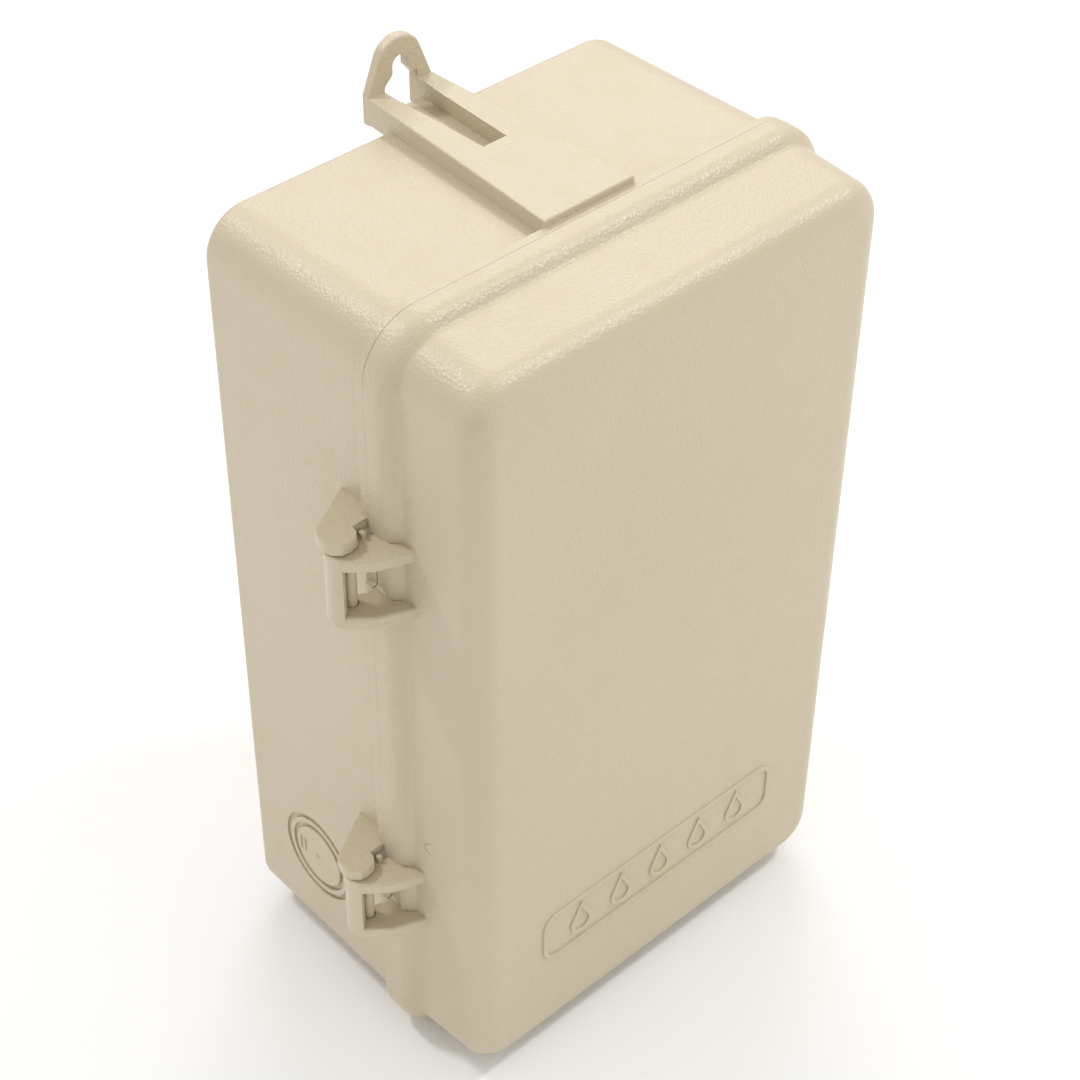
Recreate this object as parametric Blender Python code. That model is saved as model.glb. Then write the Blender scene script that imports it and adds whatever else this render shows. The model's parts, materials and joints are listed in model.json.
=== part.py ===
"""Irrigation controller in a wall-mounted plastic enclosure.

A deep rear case carries the mechanism. A cover with two loop hinges closes over it. Inside, a clock
motor turns a day dial through a gear train, a fourteen day calendar wheel rides on the dial, and a
transformer, an interval timer and a terminal block sit below.

Case datum: x to the right, y = 0 at the back of the case with the front towards -y, z = 0 at its base.
"""
import math

import bmesh
import bpy
from mathutils import Matrix, Vector

mm = 0.001

# Case and cover
case_half_width = 67.2 * mm
case_height = 235.0 * mm
corner_radius = 12.0 * mm
rear_edge_radius = 2.6 * mm
case_draft = 1.0 * mm
case_wall = 2.8 * mm
flange_start = -58.8 * mm
flange_rear = -60.2 * mm
flange_proud = 2.4 * mm
seam = -63.0 * mm
lip_front = -67.4 * mm
cover_front = -95.6 * mm
cover_wall = 2.5 * mm
cover_edge_radius = 7.3 * mm
gap = 0.3 * mm

# Wall fixing
wall_gap = 9.5 * mm
ear_thickness = 3.2 * mm
ear_top = 254.0 * mm
ear_face_height = 251.5 * mm
deck_top = 240.4 * mm
standoff_places = ((-46.0 * mm, 24.0 * mm), (46.0 * mm, 24.0 * mm))

# Cover hinges
hinge_axis = (-77.6 * mm, -63.9 * mm)
hinge_heights = (184.8 * mm, 72.6 * mm)
pin_radius = 1.55 * mm

# Knockouts
knockout_radius = 14.1 * mm
knockout_inner_radius = 11.1 * mm
side_knockout = (-29.1 * mm, 37.1 * mm)

# Mechanism plate and clock
plate_rear = -16.0 * mm
plate_thickness = 1.5 * mm
plate_half_width = 56.0 * mm
plate_low = 18.0 * mm
plate_high = 222.0 * mm
dial_x = -12.0 * mm
dial_z = 158.0 * mm
dial_radius = 44.0 * mm
gear_module = 1.0 * mm
dial_teeth = 54
idler_teeth = (40, 12)
pinion_teeth = 10
idler_angle = math.radians(-128.0)
pinion_angle = math.radians(0.0)
bridge_rear = -47.0 * mm
bridge_thickness = 1.6 * mm
dial_rear = -52.0 * mm
dial_thickness = 2.4 * mm
calendar_offset = (0.0, 25.0 * mm)
calendar_radius = 13.5 * mm
tripper_hours = (5.0, 7.0, 17.0, 19.0)
trip_pivot = (46.0 * mm, 160.0 * mm)

# Lower half
timer_centre = (20.0 * mm, 84.0 * mm)
selector_pivot = (46.0 * mm, 84.0 * mm)
panel_rear = -50.0 * mm
panel_thickness = 1.5 * mm
panel_low = 57.0 * mm
panel_high = 107.0 * mm
panel_post_places = ((-51.0 * mm, 61.0 * mm), (51.0 * mm, 61.0 * mm))
terminal_count = 6
terminal_pitch = 15.0 * mm
terminal_height = 38.0 * mm
ground_centre = (50.0 * mm, 116.0 * mm)
lead_radius = 0.75 * mm

beige = (0.62, 0.54, 0.41)
zinc = (0.62, 0.63, 0.64)
brass = (0.72, 0.53, 0.25)
black = (0.03, 0.03, 0.032)
white = (0.82, 0.81, 0.77)
grey = (0.38, 0.39, 0.40)
red = (0.55, 0.05, 0.04)
yellow = (0.75, 0.55, 0.08)
green = (0.05, 0.28, 0.12)

# Inner leads, by the points that they pass through in millimetres
lead_routes = (
    ("lead_transformer_1", red, (
        (-8, -39, 64.9), (-8, -39.2, 61), (-10.5, -38.4, 56), (-19.5, -34, 53),
        (-22.3, -28.5, 49.5), (-22.5, -26.1, 45.4))),
    ("lead_transformer_2", white, (
        (-8, -32, 64.9), (-8, -32.2, 62), (-7.8, -32, 56), (-7.5, -29, 50.5), (-7.5, -26.1, 45.4))),
    ("lead_timer", yellow, (
        (20, -30, 66.6), (18.5, -31, 62.5), (12, -33, 57), (8.4, -31.5, 53),
        (7.5, -28.5, 49.5), (7.5, -26.1, 45.4))),
)


# Scene helpers

def clear_scene():
    for thing in list(bpy.data.objects):
        bpy.data.objects.remove(thing, do_unlink=True)


def make_material(name, colour, roughness, metallic):
    material = bpy.data.materials.new(name)
    material.use_nodes = True
    shader = material.node_tree.nodes["Principled BSDF"]
    shader.inputs["Base Color"].default_value = (*colour, 1.0)
    shader.inputs["Roughness"].default_value = roughness
    shader.inputs["Metallic"].default_value = metallic
    return material


def new_object(name, mesh_builder):
    """One object under the case datum from a filled bmesh."""
    mesh = bpy.data.meshes.new(name)
    bmesh.ops.recalc_face_normals(mesh_builder, faces=mesh_builder.faces)
    mesh_builder.to_mesh(mesh)
    mesh_builder.free()
    thing = bpy.data.objects.new(name, mesh)
    bpy.context.collection.objects.link(thing)
    thing.parent = datum
    return thing


def finish(thing, colour, roughness=0.5, metallic=0.0, pivot=(0.0, 0.0, 0.0)):
    """Gives a node its material, smooth shading and an origin on its pivot."""
    thing.data.materials.append(make_material(thing.name + "_finish", colour, roughness, metallic))
    thing.data.shade_smooth()
    thing.data.set_sharp_from_angle(angle=math.radians(35))
    thing.data.transform(Matrix.Translation(-Vector(pivot)))
    thing.location = pivot
    return thing


def combine(thing, tool, operation):
    """Joins or cuts with a hidden tool object."""
    modifier = thing.modifiers.new(operation.lower() + "_" + tool.name, "BOOLEAN")
    modifier.operation = operation
    modifier.object = tool
    modifier.solver = "EXACT"
    tool.hide_render = True
    tool.display_type = "WIRE"


def join(thing, tool):
    combine(thing, tool, "UNION")


def cut(thing, tool):
    combine(thing, tool, "DIFFERENCE")


# Shapes

def rounded_outline(half_width, low, high, radius, segments=6):
    """A rounded rectangle in x and z, centred on x = 0."""
    points = []
    corners = (
        (half_width - radius, high - radius, 0),
        (-half_width + radius, high - radius, 90),
        (-half_width + radius, low + radius, 180),
        (half_width - radius, low + radius, 270),
    )
    for centre_x, centre_z, start in corners:
        for step in range(segments + 1):
            angle = math.radians(start + 90.0 * step / segments)
            points.append((centre_x + radius * math.cos(angle), centre_z + radius * math.sin(angle)))
    return points


def case_outline(offset, radius=None):
    """The enclosure's outline grown by an offset from its rear size."""
    return rounded_outline(
        case_half_width + offset, -offset, case_height + offset,
        corner_radius + offset if radius is None else radius)


def loft(name, sections):
    """A closed solid through outlines given as (y, points), from the back to the front."""
    builder = bmesh.new()
    rings = [[builder.verts.new((x, y, z)) for x, z in points] for y, points in sections]
    for ring, following in zip(rings, rings[1:]):
        count = len(ring)
        for index in range(count):
            after = (index + 1) % count
            builder.faces.new((ring[index], ring[after], following[after], following[index]))
    builder.faces.new(rings[0])
    builder.faces.new(rings[-1])
    return new_object(name, builder)


def block(name, low, high):
    """A box from its low corner to its high corner."""
    builder = bmesh.new()
    bmesh.ops.create_cube(builder, size=1.0)
    size = Vector(high) - Vector(low)
    middle = (Vector(high) + Vector(low)) / 2
    bmesh.ops.scale(builder, vec=size, verts=builder.verts)
    bmesh.ops.translate(builder, vec=middle, verts=builder.verts)
    return new_object(name, builder)


def prism(name, points, start, end, axis="y"):
    """A polygon pushed from start to end along an axis. Its points are (x, z), (x, y) or (y, z)."""
    builder = bmesh.new()
    place = {
        "y": lambda a, b, c: (a, c, b),
        "z": lambda a, b, c: (a, b, c),
        "x": lambda a, b, c: (c, a, b),
    }[axis]
    first = [builder.verts.new(place(a, b, start)) for a, b in points]
    second = [builder.verts.new(place(a, b, end)) for a, b in points]
    count = len(points)
    for index in range(count):
        after = (index + 1) % count
        builder.faces.new((first[index], first[after], second[after], second[index]))
    builder.faces.new(first)
    builder.faces.new(second)
    return new_object(name, builder)


def circle(centre, radius, segments=24, start=0.0):
    return [
        (centre[0] + radius * math.cos(start + math.tau * index / segments),
         centre[1] + radius * math.sin(start + math.tau * index / segments))
        for index in range(segments)
    ]


def capsule(first, second, radius, segments=8):
    """The outline of a bar with round ends between two points."""
    along = second - first
    heading = math.atan2(along.y, along.x)
    points = []
    for centre, turn in ((second, -math.pi / 2), (first, math.pi / 2)):
        for step in range(segments + 1):
            angle = heading + turn + math.pi * step / segments
            points.append((centre.x + radius * math.cos(angle), centre.y + radius * math.sin(angle)))
    return points


def rod(name, centre, radius, start, end, axis="y", segments=24):
    return prism(name, circle(centre, radius, segments), start, end, axis)


def turned(name, centre, profile, segments=32):
    """A solid turned about a y axis through centre, from (radius, y) points, closed on the axis."""
    builder = bmesh.new()
    rings = []
    for radius, y in profile:
        if radius == 0.0:
            rings.append([builder.verts.new((centre[0], y, centre[1]))])
        else:
            rings.append([builder.verts.new((x, y, z)) for x, z in circle(centre, radius, segments)])
    for ring, following in zip(rings, rings[1:]):
        for index in range(segments):
            after = (index + 1) % segments
            corners = [ring[index % len(ring)], ring[after % len(ring)],
                       following[after % len(following)], following[index % len(following)]]
            unique = list(dict.fromkeys(corners))
            builder.faces.new(unique)
    return new_object(name, builder)


def gear_outline(centre, teeth, phase, module=gear_module):
    """Trapezoid teeth with running backlash, four points to a tooth."""
    pitch = module * teeth / 2
    tip = pitch + 0.80 * module
    root = pitch - 1.15 * module
    step = math.tau / teeth
    points = []
    for tooth in range(teeth):
        middle = phase + tooth * step
        for radius, share in ((root, -0.31), (tip, -0.12), (tip, 0.12), (root, 0.31)):
            angle = middle + share * step
            points.append((centre[0] + radius * math.cos(angle), centre[1] + radius * math.sin(angle)))
    return points


def screw(name, centre, seat, tip, shank_radius, head_radius, head_height, pivot=None):
    """A pan-head screw along y with a slot, its head on the seat and its tip behind it."""
    x, z = centre
    body = turned(name, centre, (
        (0.0, tip), (shank_radius * 0.6, tip), (shank_radius, tip - shank_radius * 0.6),
        (shank_radius, seat), (head_radius, seat), (head_radius, seat - head_height * 0.6),
        (head_radius * 0.72, seat - head_height), (0.0, seat - head_height)), 12)
    slot = block(name + "_slot", (x - head_radius * 1.2, seat - head_height * 1.5, z - 0.35 * mm),
                 (x + head_radius * 1.2, seat - head_height * 0.55, z + 0.35 * mm))
    cut(body, slot)
    return body


# Rear case

def build_case():
    outer_rings = [(0.0, case_outline(-rear_edge_radius))]
    for step in range(1, 4):
        angle = math.pi / 2 * step / 3
        inset = rear_edge_radius * (1 - math.sin(angle))
        outer_rings.append((-rear_edge_radius * (1 - math.cos(angle)), case_outline(-inset)))
    outer_rings += [
        (flange_start, case_outline(case_draft)),
        (flange_rear, case_outline(case_draft + flange_proud - 0.5 * mm)),
        (flange_rear - 0.5 * mm, case_outline(case_draft + flange_proud)),
        (seam, case_outline(case_draft + flange_proud)),
    ]
    case = loft("case", outer_rings)

    lip = loft("case_lip", [
        (seam + 2 * mm, case_outline(0.2 * mm)),
        (lip_front + 0.6 * mm, case_outline(0.2 * mm)),
        (lip_front, case_outline(-0.4 * mm)),
    ])
    join(case, lip)
    add_ear(case)
    for height in hinge_heights:
        add_hinge_gusset(case, height)
    add_lock_lug(case)

    hollow = loft("case_hollow", [
        (-case_wall, case_outline(-case_wall - 1.5 * mm)),
        (-case_wall - 1.5 * mm, case_outline(-case_wall)),
        (flange_start, case_outline(case_draft - case_wall)),
        (lip_front - 2 * mm, case_outline(case_draft - case_wall)),
    ])
    cut(case, hollow)
    add_plate_bosses(case)
    add_standoffs(case)
    add_knockouts(case)
    return finish(case, beige, 0.45)


def add_ear(case):
    """The hanging ear, its two ribs and the deck that joins them to the flange."""
    rear = wall_gap
    front = wall_gap - ear_thickness
    top_radius = 7.0 * mm
    outline = [(-10.1 * mm, 233.0 * mm), (10.1 * mm, 233.0 * mm), (10.1 * mm, deck_top)]
    for step in range(9):
        angle = math.radians(18 + 144 * step / 8)
        outline.append((top_radius * math.cos(angle), ear_top - top_radius + top_radius * math.sin(angle)))
    outline.append((-10.1 * mm, deck_top))
    ear = prism("case_ear", outline, front, rear)
    deck = prism("case_deck", [
        (-10.1 * mm, front + 0.5 * mm), (10.1 * mm, front + 0.5 * mm),
        (14.4 * mm, flange_rear - 0.3 * mm), (-14.4 * mm, flange_rear - 0.3 * mm),
    ], 233.0 * mm, deck_top, "z")
    join(case, deck)
    join(case, ear)
    slot = prism("case_deck_slot", [
        (-5.2 * mm, front + 0.2 * mm), (5.2 * mm, front + 0.2 * mm),
        (3.7 * mm, -28.1 * mm), (-3.7 * mm, -28.1 * mm),
    ], case_height + 0.6 * mm, deck_top + 1 * mm, "z")
    rear_slot = block("case_rear_slot", (-5.2 * mm, 0.2 * mm, case_height + 0.6 * mm),
                      (5.2 * mm, front + 0.2 * mm, deck_top + 1 * mm))
    cut(case, slot)
    cut(case, rear_slot)
    keyhole = [(-5.2 * mm, 230.0 * mm), (5.2 * mm, 230.0 * mm), (5.2 * mm, 241.0 * mm),
               (2.6 * mm, 244.5 * mm)]
    for step in range(7):
        angle = math.radians(180 * step / 6)
        keyhole.append((2.6 * mm * math.cos(angle), 246.4 * mm + 2.6 * mm * math.sin(angle)))
    keyhole += [(-2.6 * mm, 244.5 * mm), (-5.2 * mm, 241.0 * mm)]
    cut(case, prism("case_keyhole", keyhole, front - 1 * mm, rear + 1 * mm))


def hinge_scoop(name, top):
    """The round relief in the flange and the skirt behind a pin."""
    label = "%s_%d" % (name, round(top / mm))
    return rod(label, hinge_axis, 8.6 * mm, top - 21.5 * mm, top - 7.1 * mm, "z", 32)


def add_hinge_gusset(case, top):
    """A flat gusset with a pin hanging from its rounded end."""
    thickness = 3.2 * mm
    cut(case, hinge_scoop("case_scoop", top))
    outline = [(-66.5, -49.2), (-67.9, -49.6), (-82.5, -58.0), (-83.5, -60.3), (-83.6, -62.4),
               (-83.2, -64.3), (-81.4, -66.2), (-79.0, -66.6), (-76.5, -66.0), (-75.3, -64.4),
               (-74.9, -62.5), (-66.5, -62.5)]
    points = [(x * mm, y * mm) for x, y in outline]
    join(case, prism("case_gusset_%d" % round(top / mm), points, top - thickness, top, "z"))
    pin_low = top - 27.2 * mm
    join(case, rod("case_pin_%d" % round(top / mm), hinge_axis, pin_radius, pin_low, top - 1 * mm, "z", 16))


def add_lock_lug(case):
    """An ear beside the seam for a padlock, with its matching ear on the cover."""
    add_lug(case, "case_lug", seam, seam + 3.0 * mm)


def add_lug(thing, name, front, rear):
    reach = case_half_width + case_draft + flange_proud
    outline = [(reach - 2.0 * mm, 108.0 * mm), (reach + 7.0 * mm, 110.5 * mm),
               (reach + 11.0 * mm, 114.0 * mm), (reach + 12.0 * mm, 118.0 * mm),
               (reach + 11.0 * mm, 122.0 * mm), (reach + 7.0 * mm, 125.5 * mm),
               (reach - 2.0 * mm, 128.0 * mm)]
    join(thing, prism(name, outline, front, rear))
    cut(thing, rod(name + "_hole", (reach + 5.6 * mm, 118.0 * mm), 3.9 * mm,
                   front - 1 * mm, rear + 1 * mm))


def plate_screw_places():
    return [(side * 48.0 * mm, height * mm) for side in (-1, 1) for height in (24.0, 216.0)]


def add_plate_bosses(case):
    for number, place in enumerate(plate_screw_places()):
        boss = turned("case_boss_%d" % number, place, (
            (0.0, -1.4 * mm), (5.6 * mm, -1.4 * mm), (4.4 * mm, plate_rear + gap),
            (0.0, plate_rear + gap)), 20)
        join(case, boss)
        cut(case, rod("case_boss_hole_%d" % number, place, 1.8 * mm, -6 * mm, plate_rear - 1 * mm, "y", 16))


def add_standoffs(case):
    """Two feet on the back with screw holes, level with the ear's back face."""
    for number, place in enumerate(standoff_places):
        join(case, turned("case_standoff_%d" % number, place, (
            (0.0, -1.2 * mm), (8.5 * mm, -1.2 * mm), (7.5 * mm, wall_gap), (0.0, wall_gap)), 24))
        cut(case, rod("case_standoff_hole_%d" % number, place, 2.4 * mm, -6 * mm, wall_gap + 1 * mm, "y", 16))
        cut(case, rod("case_standoff_bore_%d" % number, place, 5.2 * mm,
                      -6 * mm, wall_gap - 3.5 * mm, "y", 24))


def add_knockouts(case):
    """Thin discs in rings, on both sides and in the base."""
    depth = 0.9 * mm
    for side in (-1, 1):
        wall = side * (case_half_width + case_draft * 0.49)
        for number, radius in enumerate((knockout_radius, knockout_inner_radius)):
            ring = knockout_ring("case_side_ring_%d_%d" % (side, number), side_knockout, radius,
                                 wall - side * depth, wall + side * 3 * mm, "x")
            cut(case, ring)
    for number, x in enumerate((-30.0 * mm, 0.0, 30.0 * mm)):
        ring = knockout_ring("case_base_ring_%d" % number, (x, side_knockout[0]), knockout_inner_radius,
                             -0.5 * mm + depth, -4 * mm, "z")
        cut(case, ring)


def knockout_ring(name, centre, radius, start, end, axis):
    """A washer-shaped cutter 1.6 mm wide."""
    ring = rod(name, centre, radius, start, end, axis, 32)
    low, high = min(start, end), max(start, end)
    cut(ring, rod(name + "_core", centre, radius - 1.6 * mm, low - 1 * mm, high + 1 * mm, axis, 32))
    return ring


# Cover

def build_cover():
    rear = seam - gap
    draft_end = cover_front + cover_edge_radius
    rings = [
        (rear, case_outline(3.4 * mm)),
        (-66.4 * mm, case_outline(3.6 * mm)),
        (-68.3 * mm, case_outline(3.2 * mm)),
        (-69.9 * mm, case_outline(2.2 * mm)),
        (-71.2 * mm, case_outline(0.7 * mm)),
        (-72.2 * mm, case_outline(0.4 * mm)),
        (draft_end, case_outline(-0.5 * mm)),
    ]
    for step in range(1, 6):
        angle = math.pi / 2 * step / 5
        inset = cover_edge_radius * (1 - math.cos(angle))
        rings.append((draft_end - cover_edge_radius * math.sin(angle), case_outline(-0.5 * mm - inset)))
    cover = loft("cover", rings)
    for height in hinge_heights:
        cut(cover, hinge_scoop("cover_scoop", height))
        add_hinge_loop(cover, height)
    add_lug(cover, "cover_lug", rear - 3.0 * mm, rear)
    inner_edge = cover_edge_radius - cover_wall
    inner = [
        (rear + 1 * mm, case_outline(1.0 * mm)),
        (-69.4 * mm, case_outline(1.0 * mm)),
        (-70.9 * mm, case_outline(0.4 * mm - cover_wall)),
        (draft_end, case_outline(-0.5 * mm - cover_wall)),
    ]
    for step in range(1, 4):
        angle = math.pi / 2 * step / 3
        inset = inner_edge * (1 - math.cos(angle))
        inner.append((draft_end - inner_edge * math.sin(angle),
                      case_outline(-0.5 * mm - cover_wall - inset)))
    cut(cover, loft("cover_hollow", inner))
    for height in hinge_heights:
        cut(cover, rod("cover_pin_hole_%d" % round(height / mm), hinge_axis, pin_radius + gap,
                       height - 30 * mm, height - 3.3 * mm, "z", 16))
    add_emblem(cover)
    return finish(cover, beige, 0.45, pivot=(*hinge_axis, 0.0))


def add_hinge_loop(cover, top):
    """Two plates joined by a curved outer wall, with the case's pin through both."""
    radius = 5.9 * mm
    outline = [(-66.3, -75.9), (-67.4, -75.8), (-76.5, -72.2), (-79.6, -69.6)]
    points = [(x * mm, y * mm) for x, y in outline]
    for step in range(10):
        angle = math.radians(212 - 182 * step / 9)
        points.append((hinge_axis[0] + radius * math.cos(angle), hinge_axis[1] + radius * math.sin(angle)))
    points += [(-71.3 * mm, -63.5 * mm), (-69.6 * mm, -63.6 * mm), (-69.6 * mm, -69.6 * mm),
               (-66.6 * mm, -71.8 * mm)]
    label = "cover_plate_%d" % round(top / mm)
    upper_top = top - 3.5 * mm
    lower_top = top - 21.3 * mm
    plate = 3.8 * mm
    join(cover, prism(label + "_upper", points, upper_top - plate, upper_top, "z"))
    join(cover, prism(label + "_lower", points, lower_top - plate, lower_top, "z"))
    wall = []
    for step in range(7):
        angle = math.radians(214 - 94 * step / 6)
        wall.append((hinge_axis[0] + radius * math.cos(angle), hinge_axis[1] + radius * math.sin(angle)))
    for step in range(7):
        angle = math.radians(120 + 94 * step / 6)
        wall.append((hinge_axis[0] + 3.7 * mm * math.cos(angle), hinge_axis[1] + 3.7 * mm * math.sin(angle)))
    join(cover, prism(label + "_wall", wall, lower_top - 1 * mm, upper_top - 1 * mm, "z"))
    stop = block(label + "_stop", (-74.1 * mm, -64.8 * mm, upper_top - 1 * mm),
                 (-72.8 * mm, -63.2 * mm, upper_top + 2.0 * mm))
    join(cover, stop)


def add_emblem(cover):
    """A plain raised frame low on the front."""
    low, high = 31.0 * mm, 49.0 * mm
    frame = loft("cover_emblem", [
        (cover_front + 0.6 * mm, rounded_outline(44 * mm, low, high, 5 * mm, 4)),
        (cover_front - 0.5 * mm, rounded_outline(44 * mm, low, high, 5 * mm, 4)),
    ])
    inside = loft("cover_emblem_inside", [
        (cover_front + 2 * mm, rounded_outline(42.8 * mm, low + 1.2 * mm, high - 1.2 * mm, 3.8 * mm, 4)),
        (cover_front - 2 * mm, rounded_outline(42.8 * mm, low + 1.2 * mm, high - 1.2 * mm, 3.8 * mm, 4)),
    ])
    cut(frame, inside)
    join(cover, frame)


def build_schedule_card():
    """The programme card behind the cover's front."""
    rear = cover_front + cover_wall + 0.8 * mm
    card = block("schedule_card", (-42 * mm, rear - 0.5 * mm, 58 * mm), (42 * mm, rear, 196 * mm))
    finish(card, white, 0.7, pivot=(*hinge_axis, 0.0))


# Mechanism plate

def build_mechanism_plate():
    front = plate_rear - plate_thickness
    plate = loft("mechanism_plate", [
        (plate_rear, rounded_outline(plate_half_width, plate_low, plate_high, 5 * mm, 3)),
        (front, rounded_outline(plate_half_width, plate_low, plate_high, 5 * mm, 3)),
    ])
    for number, place in enumerate(plate_screw_places()):
        cut(plate, rod("plate_hole_%d" % number, place, 1.9 * mm,
                       plate_rear + 1 * mm, front - 1 * mm, "y", 16))
    low_notch = block("plate_wire_notch", (-26 * mm, front - 1 * mm, plate_low - 1 * mm),
                      (26 * mm, plate_rear + 1 * mm, plate_low + 7 * mm))
    cut(plate, low_notch)
    finish(plate, zinc, 0.35, 0.9)
    for number, place in enumerate(plate_screw_places(), 1):
        head = screw("plate_screw_%d" % number, place, front - gap, -7.5 * mm,
                     1.5 * mm, 3.2 * mm, 2.2 * mm)
        finish(head, zinc, 0.3, 1.0)


# Clock

def clock_places():
    """Centres of the dial, the idler and the motor pinion, from the gears' tooth counts."""
    dial = (dial_x, dial_z)
    idler_reach = gear_module * (dial_teeth + idler_teeth[1]) / 2
    idler = (dial[0] + idler_reach * math.cos(idler_angle), dial[1] + idler_reach * math.sin(idler_angle))
    pinion_reach = gear_module * (idler_teeth[0] + pinion_teeth) / 2
    pinion = (idler[0] + pinion_reach * math.cos(pinion_angle),
              idler[1] + pinion_reach * math.sin(pinion_angle))
    return dial, idler, pinion


def build_motor(pinion):
    front = plate_rear - plate_thickness
    motor = turned("clock_motor", pinion, (
        (0.0, front - gap), (21.5 * mm, front - gap),
        (21.5 * mm, front - 12 * mm), (20.5 * mm, front - 13 * mm),
        (9.0 * mm, front - 13 * mm), (9.0 * mm, front - 15.5 * mm), (3.0 * mm, front - 15.5 * mm),
        (3.0 * mm, front - 17 * mm), (0.0, front - 17 * mm)), 32)
    reach = Vector((18.2 * mm, 18.2 * mm))
    middle = Vector(pinion)
    ears = capsule(middle - reach, middle + reach, 4.0 * mm)
    join(motor, prism("motor_ears", ears, front - gap, front - 1.6 * mm))
    for number, side in enumerate((-1, 1)):
        cut(motor, rod("motor_ear_hole_%d" % number, middle + side * reach, 1.6 * mm, front + 1 * mm,
                       front - 3 * mm, "y", 16))
    cut(motor, rod("motor_shaft_hole", pinion, 1.9 * mm, front - 10 * mm, front - 20 * mm, "y", 16))
    finish(motor, zinc, 0.4, 0.8)


def build_gears(dial, idler, pinion):
    mesh_angle = math.atan2(dial[1] - idler[1], dial[0] - idler[0])
    dial_phase = mesh_angle + math.pi
    dial_gear = prism("dial_gear", gear_outline(dial, dial_teeth, dial_phase), -40.4 * mm, -43.4 * mm)
    cut(dial_gear, rod("dial_gear_bore", dial, 3.3 * mm, -39 * mm, -45 * mm))
    finish(dial_gear, brass, 0.3, 1.0, pivot=(dial[0], 0.0, dial[1]))

    shaft = turned("dial_shaft", dial, (
        (0.0, -18.1 * mm), (2.6 * mm, -18.1 * mm), (3.0 * mm, -18.6 * mm), (3.0 * mm, -57.6 * mm),
        (2.4 * mm, -58.2 * mm), (0.0, -58.2 * mm)), 24)
    finish(shaft, zinc, 0.25, 1.0, pivot=(dial[0], 0.0, dial[1]))

    small_step = math.tau / idler_teeth[1]
    small_phase = mesh_angle + small_step / 2
    gear = prism("idler_gear", gear_outline(idler, idler_teeth[1], small_phase), -39.0 * mm, -44.0 * mm)
    big_step = math.tau / idler_teeth[0]
    big_mesh = math.atan2(pinion[1] - idler[1], pinion[0] - idler[0])
    wheel = gear_outline(idler, idler_teeth[0], big_mesh + big_step / 2)
    join(gear, prism("idler_wheel", wheel, -36.0 * mm, -39.2 * mm))
    join(gear, rod("idler_arbor", idler, 1.5 * mm, -18.1 * mm, -46.7 * mm, "y", 16))
    join(gear, rod("idler_hub", idler, 3.6 * mm, -33.0 * mm, -36.4 * mm, "y", 20))
    finish(gear, white, 0.5, 0.0, pivot=(idler[0], 0.0, idler[1]))

    outline = gear_outline(pinion, pinion_teeth, big_mesh + math.pi)
    pinion_gear = prism("motor_pinion", outline, -35.6 * mm, -39.6 * mm)
    join(pinion_gear, rod("motor_shaft", pinion, 1.5 * mm, -29.5 * mm, -36.0 * mm, "y", 16))
    finish(pinion_gear, brass, 0.3, 1.0, pivot=(pinion[0], 0.0, pinion[1]))


def bridge_post_places(dial):
    return [(dial[0] + x * mm, dial[1] + z * mm) for x, z in ((-38.0, 37.0), (38.0, 37.0), (37.0, -38.0))]


def build_bridge(dial, idler):
    front = bridge_rear - bridge_thickness
    places = bridge_post_places(dial)
    outline = [
        (dial[0] - 44 * mm, dial[1] + 42 * mm), (dial[0] - 44 * mm, dial[1] + 30 * mm),
        (idler[0] - 8 * mm, idler[1] - 8 * mm), (idler[0] + 10 * mm, idler[1] - 8 * mm),
        (dial[0] + 29 * mm, dial[1] - 44 * mm), (dial[0] + 43 * mm, dial[1] - 44 * mm),
        (dial[0] + 44 * mm, dial[1] + 30 * mm), (dial[0] + 44 * mm, dial[1] + 42 * mm),
    ]
    bridge = prism("gear_bridge", outline, bridge_rear, front)
    cut(bridge, rod("bridge_dial_hole", dial, 3.4 * mm, bridge_rear + 1 * mm, front - 1 * mm))
    for number, place in enumerate(places):
        cut(bridge, rod("bridge_screw_hole_%d" % number, place, 1.8 * mm,
                        bridge_rear + 1 * mm, front - 1 * mm, "y", 16))
    window = block("bridge_window", (dial[0] + 10 * mm, front - 1 * mm, dial[1] - 26 * mm),
                   (dial[0] + 30 * mm, bridge_rear + 1 * mm, dial[1] + 20 * mm))
    cut(bridge, window)
    finish(bridge, zinc, 0.35, 0.9)
    base = plate_rear - plate_thickness - gap
    for number, place in enumerate(places, 1):
        post = rod("bridge_post_%d" % number, place, 3.2 * mm, base, bridge_rear + gap, "y", 6)
        cut(post, rod("bridge_post_bore_%d" % number, place, 1.7 * mm,
                      bridge_rear + 10 * mm, bridge_rear - 1 * mm, "y", 12))
        finish(post, brass, 0.3, 1.0)
        head = screw("bridge_screw_%d" % number, place, front - gap, bridge_rear + 8 * mm,
                     1.4 * mm, 2.8 * mm, 1.9 * mm)
        finish(head, zinc, 0.3, 1.0)


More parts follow.
